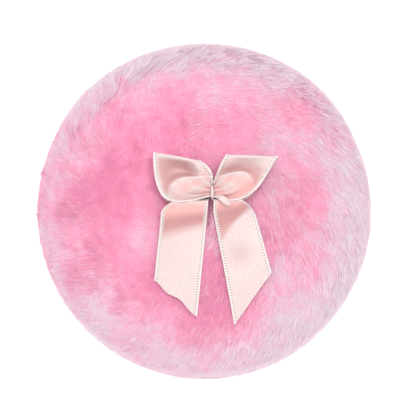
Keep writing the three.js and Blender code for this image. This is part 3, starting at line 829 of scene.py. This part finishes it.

# %% [markdown]
# ## Tails of the bow
#
# A tail leaves the gathers under the loops, spreads to its full width as it slopes down, and then lies
# on the pile to its cut end. The left end was cut unevenly, so its edge waves a little. The right tail
# carries a shallow dent. As with the loops, a formula is used and not a simulation, because the outline
# has to come out as it was cut. On the slope the satin carries a painted peach glow and then painted
# shade, and the dent carries painted shade too.

# %% Sizes of the tails
# Lengths are in millimetres. side: -1 for left, 1 for right.
# inset, spread: where the inner edge crosses the hinge line, and the width of the ribbon along that line.
# splay: how far the tail points outwards, in degrees.
# length, cut, wave: of the inner edge, how much shorter the outer edge is, and how uneven the cut is.
# ridge, fall: where the slope starts, and where it ends at the inner and at the outer edge.
# dent: depth of the dent.
# shade: as shares of the slope, where the painted shade begins and is full, where it starts to fade at
# the inner and at the outer edge, and how softly it fades.
LEFT_TAIL = {
    "side": -1, "inset": 1.3, "spread": 13.0, "splay": 5.8, "length": 28.6, "cut": 8.6, "wave": 0.5,
    "ridge": 3.0, "fall": (8.9, 12.2), "dent": 0.0, "shade": (0.25, 0.65, 0.72, 0.72, 0.65),
}
RIGHT_TAIL = {
    "side": 1, "inset": 0.3, "spread": 11.8, "splay": 10.8, "length": 31.4, "cut": 12.4, "wave": 0.0,
    "ridge": 2.8, "fall": (11.6, 4.6), "dent": 0.45, "shade": (0.0, 0.5, 1.15, 0.35, 0.45),
}
HINGE_OFFSET = 6.0  # from the knot to the line where a tail bends
print("tail lengths:", LEFT_TAIL["length"], RIGHT_TAIL["length"], "mm from the hinge line")

# %% Tails from above
GATHER_NEAR, GATHER_FAR, GATHER_Y = 0.5, 1.5, -0.9
SHOULDER = np.array([0.85, 0.25])
CUT_WAVES, WAVE_START = 1.6, 0.1
ROOT_ROWS, TAIL_ROWS = 50, 200


def tail_plan(size):
    """A tail's points from above, measured from the knot: first the root, then the length past the hinge."""
    side = size["side"]
    t = COLUMNS[None, :, None]
    run = polar(1, -90 + side * size["splay"])
    width = np.array([-run[1], run[0]]) * side * RIBBON_WIDTH
    hinge = np.concatenate([side * (size["inset"] + size["spread"] * t), np.full_like(t, -HINGE_OFFSET)], -1)
    gather = np.concatenate([side * mix(GATHER_NEAR, GATHER_FAR, t), np.full_like(t, GATHER_Y)], -1)
    ragged = size["wave"] * np.sin(2 * math.pi * (CUT_WAVES * t + WAVE_START)) * arch(t) ** 0.5
    inner_hinge = np.array([side * size["inset"], -HINGE_OFFSET])
    cut = inner_hinge + run * (size["length"] - size["cut"] * t + ragged) + width * t
    shoulder = mix(gather, hinge, SHOULDER)
    s = np.linspace(0, 1, ROOT_ROWS)[:-1, None, None]
    root = gather * (1 - s) ** 2 + shoulder * 2 * s * (1 - s) + hinge * s * s
    u = np.linspace(0, 1, TAIL_ROWS)[:, None, None]
    return np.concatenate([root, mix(hinge, cut, u)])


print("tail grid:", tail_plan(LEFT_TAIL).shape[:2])

# %% Tails of the bow
ROOT_LIFT = 3.4
ROOT_LIFT_SHARE = 0.2
CLIMB_START = 1.6
ROOT_PLEAT, ROOT_PLEATS = 0.2, 2.3
DENT = np.array([8.1, -17.6])
DENT_SPREAD = 2.2
# Painted shade in the dent, for each millimetre of its depth.
DENT_PAINTED_SHADE = 0.85
UNDULATION = 0.12
UNDULATION_ACROSS, UNDULATION_ALONG = 0.45, 0.31  # radians per millimetre
# Painted shade lingering past the slope, and the painted peach glow near its top.
SLOPE_PAINTED_SHADE, SLOPE_DUSK_FADE = 0.12, (1, 2)
PEACH_RISE, PEACH_END, PEACH_SOFTNESS = (-0.05, 0.25), 0.6, 0.3


def tail_grid(size):
    """The points of a tail's strip, from the gathers to the cut end, with its painted shade and glow."""
    x, y = np.moveaxis(tail_plan(size), -1, 0)
    climb = rising(-y, CLIMB_START, size["ridge"] - CLIMB_START)
    slope = (-y - size["ridge"]) / (mix(*size["fall"], COLUMNS) - size["ridge"])
    fall = falling(slope, 0, 1)
    pleats = ROOT_PLEAT * np.sin(2 * math.pi * (ROOT_PLEATS * COLUMNS + WAVE_START)) * climb * fall
    dent = size["dent"] * np.exp(-((x - DENT[0]) ** 2 + (y - DENT[1]) ** 2) / (2 * DENT_SPREAD ** 2))
    wave = np.sin(x * UNDULATION_ACROSS + size["side"]) * np.sin(y * UNDULATION_ALONG)
    lift = CLEARANCE + RIBBON_THICKNESS / 2 + ROOT_LIFT * mix(ROOT_LIFT_SHARE, 1, climb) * fall
    lift += pleats - dent + UNDULATION * (1 - fall) * wave
    begin, full, *fades, softness = size["shade"]
    fade = mix(*fades, COLUMNS)
    # Painted shade on the slope, in the dent and past the slope, and a painted peach glow near the top.
    painted_shade = window(slope, (begin, full - begin), (fade, softness))
    beyond = SLOPE_PAINTED_SHADE * window(slope, (0, 1), SLOPE_DUSK_FADE) + DENT_PAINTED_SHADE * dent
    peach = window(slope, PEACH_RISE, (np.minimum(fade, PEACH_END), PEACH_SOFTNESS))
    x, y = x + BOW[0], y + BOW[1]
    grid = np.stack([x, y, pile_top(x, y) + lift], -1)
    return grid, {"fold": np.maximum(painted_shade, beyond), "peach": peach}


left_tail, left_tail_length = ribbon("left_tail_ribbon", *tail_grid(LEFT_TAIL))
right_tail, right_tail_length = ribbon("right_tail_ribbon", *tail_grid(RIGHT_TAIL))
print("tail strips:", round(left_tail_length, 1), round(right_tail_length, 1), "mm")

# %% [markdown]
# ## Knot
#
# The middle of the bow is the ribbon gathered into a bundle of pleats, with a narrow band wound round
# it. Curves with a bevel would make such tubes too, but their section keeps one shape all the way. So
# each is a tube swept through rings of points, which also keeps the meshes closed.

# %% Tube through rings of points
SQUARENESS = 0.7  # exponent of a section: 1 is round, less is squarer


def tube(name, rings, material, closed=False):
    """A closed tube through rings of points, capped at its ends unless it meets itself."""
    count, sides = rings.shape[:2]
    index = np.arange(count * sides).reshape(count, sides)
    here = index if closed else index[:-1]
    after = np.roll(index, -1, 0) if closed else index[1:]
    corners = np.stack([here, np.roll(here, -1, 1), np.roll(after, -1, 1), after], -1).ravel()
    faces = np.full(here.size, 4)
    if not closed:
        corners = np.concatenate([corners, index[0][::-1], index[-1]])
        faces = np.concatenate([faces, [sides, sides]])
    made = make_object(name, rings.reshape(-1, 3), corners, faces, material)
    middle = rings.mean(1)
    girth = np.linalg.norm(rings[0] - middle[0], axis=-1).mean() * np.linspace(0, 2 * math.pi, sides)
    flat = np.stack(np.broadcast_arrays(girth[None, :], run_along(middle)[:, None]), -1)
    set_map(made, "Ribbon", corners, flat.reshape(-1, 2))
    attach(made, "puff")
    return made


def run_along(path):
    """How far along a path each of its points lies."""
    return np.concatenate([[0], np.cumsum(np.linalg.norm(np.diff(path, axis=0), axis=-1))])


def squared(angle, half_y, half_z):
    """A rounded rectangle about the X axis, from its half sizes."""
    y, z = np.cos(angle), np.sin(angle)
    return half_y * np.sign(y) * np.abs(y) ** SQUARENESS, half_z * np.sign(z) * np.abs(z) ** SQUARENESS


print("corner of a section 2 by 2 mm:", np.round(squared(math.pi / 4, 1, 1), 2))

# %% Gathered waist
WAIST_SIDES, WAIST_RINGS = 96, 33
GATHERS = 8
GATHER_DEPTH = 0.12
BUNCHED_MIDDLE, BUNCHED_ENDS = 1.2, 1.65  # times the size of the solid
MIDDLE_HEIGHT, FLATTENING = 0.85, 1.3
waist_low, waist_high = corners_of("bow_waist")
knot_middle = (waist_low + waist_high) / 2
waist_angle = round_turn(WAIST_SIDES)
along_waist = np.linspace(-1, 1, WAIST_RINGS)[:, None]
bunched = mix(BUNCHED_MIDDLE, BUNCHED_ENDS, smooth(np.abs(along_waist)))
bunched = bunched * (1 + GATHER_DEPTH * np.cos(GATHERS * waist_angle))
waist_y, waist_z = squared(waist_angle, *(waist_high - waist_low)[1:] / 2)
waist_x = along_waist * (WAIST_LENGTH / 2 + CLEARANCE)
waist_height = waist_z * mix(MIDDLE_HEIGHT, 1, np.abs(along_waist)) * bunched / FLATTENING
waist_rings = np.stack(np.broadcast_arrays(waist_x, waist_y * bunched, waist_height), -1)
waist = tube("bow_waist_gathers", knot_middle + waist_rings, satin_material)
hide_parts("bow_waist")
print("made:", waist.name)

# %% Band round the waist
BAND_THICKNESS = 0.4
BAND_RINGS, BAND_SIDES = 72, 24
BAND_NARROWING = 0.12  # how unevenly wide the band is on its way round
BAND_PLEATS, BAND_PLEAT_DEPTH = 4, 0.25
band_low, band_high = corners_of("knot_band")
band_width, band_depth, band_height = band_high - band_low
band_turn = round_turn(BAND_RINGS)[:, None]
band_edge = round_turn(BAND_SIDES)
band_x = band_width / 2 * np.cos(band_edge) * (1 + BAND_NARROWING * np.sin(2 * band_turn))
band_y, band_z = squared(band_turn, (band_depth - BAND_THICKNESS) / 2, (band_height - BAND_THICKNESS) / 2)
band_swell = BAND_THICKNESS / 2 * np.sin(band_edge)
band_swell = band_swell * (1 + BAND_PLEAT_DEPTH * np.cos(BAND_PLEATS * band_edge))
away = unit(np.stack([0 * band_turn, np.cos(band_turn), np.sin(band_turn)], -1))
band_rings = np.stack(np.broadcast_arrays(band_x, band_y, band_z), -1) + away * band_swell[:, None]
wrap = tube("knot_band_wrap", knot_middle + band_rings, satin_material, closed=True)
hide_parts("knot_band")
print("made:", wrap.name)

# %% [markdown]
# ## Loose end of the band and the tack
#
# The band's loose end pokes out at the lower right, folded double so that it looks plump. A two-ply
# thread goes over the band, down both sides of the knot and into the puff, and holds the bow. A single
# smooth thread would do from afar, but two plies that wind round each other catch the light as thread.

# %% Loose end of the band
END_ROOT, END_TIP = np.array([0.6, -1.0]), np.array([5.0, -4.0])
END_WIDTH, END_THICKNESS = 1.9, 1.0
END_LOW, END_HIGH = 3.4, 5.6  # above the pile
END_RINGS, END_SIDES = 30, 20
TAPER_SHARE, TAPER_REACH = 0.55, 1 / 1.6  # how narrow the end starts, and where it is fully plump
END_SWOOP = 0.9  # share of an arch that the end makes
END_FLATNESS = 0.35
along_end = np.linspace(0, 1, END_RINGS)[:, None]
end_line = BOW + mix(END_ROOT, END_TIP, along_end)
end_heading = unit(END_TIP - END_ROOT)
rounded = np.sqrt(np.clip(1 - (2 * along_end - 1) ** 6, 0.02, 1))
plump = rounded * mix(TAPER_SHARE, 1, rising(along_end, 0, TAPER_REACH))
end_height = pile_top(end_line[:, :1], end_line[:, 1:]) + mix(END_LOW, END_HIGH, arch(along_end * END_SWOOP))
end_angle = round_turn(END_SIDES)[None, :]
end_wide = END_WIDTH / 2 * plump * np.cos(end_angle)
end_high = END_THICKNESS / 2 * plump * np.sin(end_angle) * (1 - END_FLATNESS * np.cos(end_angle) ** 2)
end_x = end_line[:, :1] + end_wide * end_heading[1]
end_y = end_line[:, 1:] - end_wide * end_heading[0]
band_end = tube("knot_band_end", np.stack([end_x, end_y, end_height + end_high], -1), satin_material)
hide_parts("knot_band")
print("made:", band_end.name)

# %% Tack thread
THREAD_RADIUS = 0.3
PLY_RADIUS, PLY_OFFSET, PLY_TWIST, PLY_SIDES = 0.17, 0.15, 1.6, 10
TACK_STEPS = 160
TACK_DIP = 0.2  # share of the path that goes down into the puff at each end
TACK_ROUNDNESS = 0.8
tack_low, tack_high = corners_of("bow_tack")
swing = np.linspace(-TACK_DIP, 1 + TACK_DIP, TACK_STEPS)
tack_lean = np.clip(swing, 0, 1) * math.pi
tack_spread = (tack_high - tack_low)[1] / 2 - THREAD_RADIUS
tack_y = -tack_spread * np.sign(np.cos(tack_lean)) * np.abs(np.cos(tack_lean)) ** TACK_ROUNDNESS
tack_foot = float(pile_top(*BOW))
tack_rise = tack_high[2] - THREAD_RADIUS - tack_foot
tack_sink = tack_foot - tack_low[2] - THREAD_RADIUS
sunk = np.maximum(np.maximum(-swing, swing - 1), 0) / TACK_DIP
tack_z = tack_foot + tack_rise * np.sin(tack_lean) ** TACK_ROUNDNESS - sunk * tack_sink
tack_path = np.stack([0 * swing, tack_y, tack_z], -1)
tack_side = np.array([1.0, 0, 0])
tack_out = np.cross(unit(np.gradient(tack_path, axis=0)), tack_side)
tack_run = run_along(tack_path)
ply_angle = round_turn(PLY_SIDES)[:, None, None]
for k in range(2):
    twist = (2 * math.pi * tack_run / PLY_TWIST + k * math.pi)[:, None]
    ply_middle = tack_path + PLY_OFFSET * (np.cos(twist) * tack_side + np.sin(twist) * tack_out) + [*BOW, 0]
    ply_rings = ply_middle + PLY_RADIUS * (np.cos(ply_angle) * tack_side + np.sin(ply_angle) * tack_out)
    ply = tube(f"bow_tack_ply_{k + 1}", ply_rings.transpose(1, 0, 2), thread_material)
    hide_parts("bow_tack")
print("tack thread:", round(float(tack_run[-1]), 1), "mm")

# %% [markdown]
# ## Ribbon strips in place of their solids
#
# Loops and tails are tied at the knot and free further out. Strips cut in two at each hinge would leave
# slits when the bow moves, so each tail is one strip from the gathers to its cut end, in place of both
# of its solids. Here the solids of the loops and tails are hidden, and the place of each strip is baked
# into its points.

# %% Solids of the ribbon hidden
for piece, body, nodes, length in (
    (left_tail, "left_tail", ("left_tail", "left_tail_root"), left_tail_length),
    (right_tail, "right_tail", ("right_tail", "right_tail_root"), right_tail_length),
):
    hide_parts(*nodes)
    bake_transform(piece)
for piece, body, side, length in (
    (left_loop, "left_loop", -1, left_loop_length),
    (right_loop, "right_loop", 1, right_loop_length),
):
    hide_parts(body)
    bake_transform(piece)
print("flat ribbon:", RIBBON_WIDTH, "mm wide")

# %% [markdown]
# ## Pile, where the strands stand
#
# The pile is made of strands, each a narrow tapering strip that rises from the shell and bends over.
# Real fibres are about 0.04 mm thick and there are millions, so each strand stands for a small lock.
# Blender's hair could be combed by hand, but strips of mesh can be exported as they are. They are spread
# evenly by turning each one on by the golden angle, as seeds lie in a sunflower.

# %% Places of the strands
STRANDS = 190_000
SECTION_STEPS = 300
GOLDEN_ANGLE = math.pi * (3 - math.sqrt(5))
random = np.random.default_rng(7)
line = section(0, SECTION_STEPS)
line_steps = np.arange(len(line))
band_area = np.linalg.norm(np.diff(line, axis=0), axis=1) * (line[1:, 0] + line[:-1, 0]) / 2
heap = np.concatenate([[0], np.cumsum(band_area)]) / band_area.sum()
number = np.arange(STRANDS)
at = np.interp((number + random.uniform(0, 1, STRANDS)) / STRANDS, heap, line_steps)
radius, height = (np.interp(at, line_steps, line[:, k]) for k in range(2))
run_out, run_up = (np.interp(at, line_steps, unit(np.gradient(line, axis=0))[:, k]) for k in range(2))
angle = number * GOLDEN_ANGLE
nought = np.zeros(STRANDS)
outward = np.c_[np.cos(angle), np.sin(angle), nought]
normal = unit(outward * -run_up[:, None] + np.c_[nought, nought, run_out])
tip = outward * radius[:, None] + np.c_[nought, nought, height]
tip[:, 2] -= np.where(height > SEAM_HEIGHT, tuft(tip[:, 0], tip[:, 1]), 0)
print("strands:", STRANDS, "area per strand", round(2 * math.pi * band_area.sum() / STRANDS, 3), "mm2")

# %% [markdown]
# ## Combing
#
# The pile was stroked round and down, and more on the right and at the rim, so the strands there lie over
# further and stray more. A comb direction at each strand says which way it leans, and a drag in
# millimetres says how far. Sums of waves in seeded directions make both uneven, as a hand leaves them.
# With plain random numbers every strand would differ from its neighbour, and pile would look like grit.

# %% Ripples
WAVES = 14


def ripples(points, wavelength, seed):
    """A smooth random field: the sum of a few waves in seeded directions, about 1 high."""
    chance = np.random.default_rng(seed)
    total = np.zeros(len(points))
    for _ in range(WAVES):
        heading = unit(chance.normal(size=3))
        phase, stretch = chance.uniform(0, 2 * math.pi), chance.uniform(0.7, 1.4)
        total += np.sin(points @ heading * 2 * math.pi / (wavelength * stretch) + phase)
    return total / math.sqrt(WAVES / 2)


patchy = ripples(tip, 22, 5)
print("ripples spread:", round(float(patchy.std()), 2))

# %% Comb direction
COMB_OUT, COMB_ROUND, COMB_DOWN, COMB_DROOP = 0.6, 0.8, 0.6, 0.9
COMB_WAVES = ((9, 0.16), (3, 0.07))  # wavelength in millimetres, and strength
clockwise = np.c_[outward[:, 1], -outward[:, 0], nought]
comb = COMB_OUT * outward + COMB_ROUND * clockwise + COMB_DOWN * np.array([0, -1, 0])
for axis, seeds in ((0, (1, 2)), (1, (3, 4))):
    for (wavelength, strength), seed in zip(COMB_WAVES, seeds):
        comb[:, axis] += strength * ripples(tip, wavelength, seed)
comb[:, 2] -= COMB_DROOP * (1 - np.abs(normal[:, 2]))
comb = unit(comb - normal * np.sum(comb * normal, 1, keepdims=True))
print("mean comb direction:", comb.mean(0).round(2))

# %% Drag
EVENLY = 0.42  # what goes into the ease of brushing and of paleness in the middle of the puff
BRUSHED_LEAN = np.array([0.54, -0.18, 0]) / PUFF_RADIUS  # more brushed to the right and the front
PALE_LEAN = np.array([0.55, 0, 0]) / PUFF_RADIUS  # paler to the right
BRUSHED_PATCHES, PALE_PATCHES = 0.12, 0.1
RIM_BRUSHED, RIM_EASE = 0.85, (0.5, 0.45)
LEAST_DRAG, MOST_DRAG = 0.7, 3.6
DRAG_SPREAD, DRAG_WAVES = 0.3, 0.15
STRAY_CHANCE, STRAY_DRAG = 0.1, 1.5
radius_share = radius / PUFF_RADIUS
brushed = smooth(EVENLY + tip @ BRUSHED_LEAN + BRUSHED_PATCHES * patchy)
brushed = np.maximum(brushed, RIM_BRUSHED * rising(radius_share, *RIM_EASE))
# The right side is also paler, which the frost below takes up.
right_pale = smooth(EVENLY + tip @ PALE_LEAN + PALE_PATCHES * patchy)
uneven = 1 + DRAG_WAVES * ripples(tip, 5, 6)
uneven = uneven * random.uniform(1 - DRAG_SPREAD, 1 + DRAG_SPREAD, STRANDS)
drag = mix(LEAST_DRAG, MOST_DRAG, brushed) * uneven
stray = random.uniform(0, 1, STRANDS) < STRAY_CHANCE * brushed
drag = np.where(stray, STRAY_DRAG * drag, drag)
print("drag in mm:", np.percentile(drag, [5, 50, 95]).round(2))

# %% [markdown]
# ## Room under the bow
#
# The ribbon presses the pile down where it lies. A true contact of each strand with the cloth would take
# long to work out. So the points of the tails and the knot are marked on a fine grid of cells seen from
# above, each mark spreads to the cells beside it, and strands in marked cells stop short. In the slit
# between the tails the pile wells up, and at the back of the rim it stands up a little more.

# %% Cells under the bow
CELL = 0.25
HALF_CELLS = 400


def cell_of(places):
    """The cell of the grid that each place lies in."""
    return np.clip((places[:, :2] / CELL).astype(int) + HALF_CELLS, 0, 2 * HALF_CELLS - 1)


covered = np.zeros((2 * HALF_CELLS, 2 * HALF_CELLS), bool)
for piece in (left_tail, right_tail, waist, wrap):
    places = np.empty(len(piece.data.vertices) * 3, np.float32)
    piece.data.vertices.foreach_get("co", places)
    cells = cell_of(places.reshape(-1, 3) / MM)
    covered[cells[:, 0], cells[:, 1]] = True
covered[1:] |= covered[:-1].copy()
covered[:-1] |= covered[1:].copy()
covered[:, 1:] |= covered[:, :-1].copy()
covered[:, :-1] |= covered[:, 1:].copy()
print("cells under the bow:", int(covered.sum()))

# %% Room under the bow
PRESSED_LIFT = -0.4
LEAST_LIFT, MOST_LIFT = -1.5, 2.4
LIFT_SPREAD, LIFT_WAVES = 0.2, 0.06
WELL_LIFT, WELL_WIDTH, WELL_X = 2.2, 0.9, -0.5
WELL_ALONG = ((1.8, 1.5), (8, 5))  # eases in front of the knot, each a start and a width
FLUFF_BACK, FLUFF_RIM = (0.3, 0.5), (0.8, 0.2)
cells = cell_of(tip)
pressed = covered[cells[:, 0], cells[:, 1]] & (height > SEAM_HEIGHT)
welling = bell(tip[:, 0] - BOW[0] - WELL_X, WELL_WIDTH) * window(BOW[1] - tip[:, 1], *WELL_ALONG)
fluff = rising(tip[:, 1] / PUFF_RADIUS, *FLUFF_BACK) * rising(radius_share, *FLUFF_RIM)
lift = LIFT_SPREAD * random.normal(size=STRANDS) + LIFT_WAVES * ripples(tip, 4, 8)
lift = np.clip(lift + fluff + WELL_LIFT * welling, LEAST_LIFT, MOST_LIFT)
tip = tip + normal * np.where(pressed, PRESSED_LIFT, lift)[:, None]
print("strands under the bow:", int(pressed.sum()))

# %% [markdown]
# ## Strands
#
# A strand starts below the face of the shell, rises and bends over along the comb to its tip. It is a
# flat strip of two quads and a triangle. Round strands would take three times the faces or more, and
# look no different at this size. Each strip is spun a little about itself, so that no two neighbours
# catch the light alike.

# %% Strands
STRAND_WIDTH = 0.21
STRAND_DEPTH, DEPTH_SPREAD = 2.9, 0.5
ELBOW_RISE, ELBOW_REACH = 0.85, 0.25
SPIN = 0.6
LEVELS = (0.0, 0.45, 0.78, 1.0)  # from root to tip
WIDTHS = (1.0, 0.95, 0.7, 0.0)
TABLE_CLEARANCE = 0.1
depth = STRAND_DEPTH + random.uniform(-DEPTH_SPREAD, DEPTH_SPREAD, STRANDS)
root = tip - normal * depth[:, None] - comb * drag[:, None]
elbow = root + normal * (ELBOW_RISE * depth)[:, None] + comb * (ELBOW_REACH * drag)[:, None]
spin = random.uniform(-SPIN, SPIN, STRANDS)[:, None]
across = unit(np.cross(comb, normal) * np.cos(spin) + normal * np.sin(spin))
strand_points, strand_levels = [], []
for level, width in zip(LEVELS, WIDTHS):
    middle = root * (1 - level) ** 2 + elbow * 2 * level * (1 - level) + tip * level ** 2
    for edge in ((-1, 1) if width else (0,)):
        strand_points.append(middle + across * edge * STRAND_WIDTH / 2 * width)
        strand_levels.append(level)
strand_points = np.stack(strand_points, 1)
strand_points[..., 2] = np.maximum(strand_points[..., 2], TABLE_CLEARANCE)
print("points per strand:", strand_points.shape[1])

# %% [markdown]
# ## Frost and painted sheen
#
# How pale a strand's tip is decides the puff's colour from afar: deep pink in the middle, paler on the
# right, with a few patches that were rubbed. The pale rim and the pale band at the back are a painted
# sheen, the paleness of pile seen from the side, and one pale patch round the bow is painted light that
# takes out the bow's shadow on the pile. Painting this by hand on the mesh would work too, but a sum of
# soft curves is easier to change. Each strand then differs a little from the next, and strays are palest.

# %% Painted sheen of the rim and the back
RIM_PAINTED_SHEEN = [0.84, 0.3, 1.0, 0.95, 0.48, 0.84, 0.76, 0.95, 0.84]  # every eighth of a turn from +X
RIM_START, RIM_POWER = 0.5, 1.3
FRONT_PAINTED_SHEEN, FRONT_HEIGHT = 1.25, ((-9, 4), (5, 8))
FRONT_STEEPNESS = 1.4
UNDER_PAINTED_SHEEN, UNDER_HEIGHT = 0.35, (0, 9)
BACK_EDGE, BACK_GLOW, BACK_HEIGHT = (0.75, 0.1), (0.3, 0.4), (-2, 6)  # eases: a start and a width each
BACK_EDGE_PAINTED_SHEEN, BACK_GLOW_PAINTED_SHEEN = 0.558, 0.062
BACK_WAVER = 0.035
x_share, y_share = tip[:, 0] / PUFF_RADIUS, tip[:, 1] / PUFF_RADIUS
above_seam = height - SEAM_HEIGHT
heading = np.mod(angle, 2 * math.pi)
# Painted sheen: paler towards the rim, as pile looks where it is seen from the side, less below the seam and
# more at the front edge.
rim = np.clip((radius_share - RIM_START) / (1 - RIM_START), 0, 1) ** RIM_POWER
rim *= np.interp(heading, np.linspace(0, 2 * math.pi, len(RIM_PAINTED_SHEEN)), RIM_PAINTED_SHEEN)
front_edge = smooth(-FRONT_STEEPNESS * y_share) * window(above_seam, *FRONT_HEIGHT)
rim *= np.maximum(mix(UNDER_PAINTED_SHEEN, 1, rising(above_seam, *UNDER_HEIGHT)), FRONT_PAINTED_SHEEN * front_edge)
# Painted sheen in a band at the back.
behind = y_share + BACK_WAVER * ripples(tip, 10, 11)
back_band = BACK_EDGE_PAINTED_SHEEN * rising(behind, *BACK_EDGE) + BACK_GLOW_PAINTED_SHEEN * rising(behind, *BACK_GLOW)
print("frost of the rim:", np.percentile(rim, [5, 50, 95]).round(2))

# %% Frost and painted light of each strand
BASE_FROST, RIGHT_FROST, STRAY_FROST = 0.08, 0.52, 0.6
FROST_WAVES = ((16, 9, 0.1), (4, 10, 0.07))  # wavelength in millimetres, seed and strength
LEAST_GRAIN, MOST_GRAIN = 0.03, 0.2
ROOT_PALENESS, PALE_EASE = 0.1, (0.15, 0.6)
LEAST_PALE, MOST_PALE = 0.02, 1.1
PATCHES = (  # place and reach as shares of the puff's radius, and change of frost
    (0.3, 0.37, 0.26, 0.42),
    (0.08, -0.66, 0.24, -0.35),
    # Painted light: paler round the bow, taking out the bow's shadow on the pile.
    (0.06, -0.05, 0.3, 0.13),
    (-0.36, -0.17, 0.14, 0.28),
)
# The strands' own frost, with the painted sheen of the rim and the back and the painted light round the bow.
frost_and_painted_light = BASE_FROST + RIGHT_FROST * right_pale + rim + back_band * rising(above_seam, *BACK_HEIGHT)
for wavelength, seed, strength in FROST_WAVES:
    frost_and_painted_light += strength * ripples(tip, wavelength, seed)
for patch_x, patch_y, reach, change in PATCHES:
    frost_and_painted_light += change * bell(np.hypot(x_share - patch_x, y_share - patch_y), reach)
grain = mix(LEAST_GRAIN, MOST_GRAIN, brushed)
frost_and_painted_light += grain * random.normal(0, 1, STRANDS) + STRAY_FROST * stray
along_strand = mix(ROOT_PALENESS, 1, rising(np.array(strand_levels), *PALE_EASE))
paleness = np.clip(frost_and_painted_light, LEAST_PALE, MOST_PALE)[:, None] * along_strand
print("paleness at tips:", np.percentile(paleness[:, -1], [5, 50, 95]).round(2))

# %% [markdown]
# ## Pile pieces
#
# The strands are gathered into meshes, a quarter of each cover at a time, because one mesh of them all
# would be slow to handle. The pile's colour depends on one number only, its paleness. So its map for
# baking needs no unwrapping: paleness runs one way, and the strands lie side by side the other way.

# %% Pile pieces
STRAND_CORNERS = np.array([0, 1, 3, 2, 2, 3, 5, 4, 4, 5, 6])
STRAND_FACES = np.array([4, 4, 3])
STRAND_SIDES = np.array([0, 1, 0, 1, 0, 1, 0.5])
LANE_WIDTH = 0.02
SECTORS = 4


def pile_piece(name, chosen, node):
    """One piece of pile from the chosen strands."""
    count = len(chosen)
    corners = (np.arange(count)[:, None] * len(STRAND_SIDES) + STRAND_CORNERS).ravel()
    points = strand_points[chosen].reshape(-1, 3)
    made = make_object(name, points, corners, np.tile(STRAND_FACES, count), pile_material)
    set_attribute(made, "paleness", paleness[chosen])
    lane = mix(0, 1 - LANE_WIDTH, (np.arange(count)[:, None] + 0.5) / count) + LANE_WIDTH * STRAND_SIDES
    set_map(made, "OFBake", corners, np.stack([paleness[chosen] / MOST_PALE, lane], -1).reshape(-1, 2))
    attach(made, "puff")
    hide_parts(node)
    return made


sector = (heading / (2 * math.pi) * SECTORS).astype(int)
for k in range(SECTORS):
    for is_upper, node in ((True, "upper_cover"), (False, "lower_cover")):
        chosen = np.flatnonzero((sector == k) & ((height > SEAM_HEIGHT) == is_upper))
        made = pile_piece(f"{node}_pile_{k + 1}", chosen, node)
        print(made.name, len(chosen), "strands")
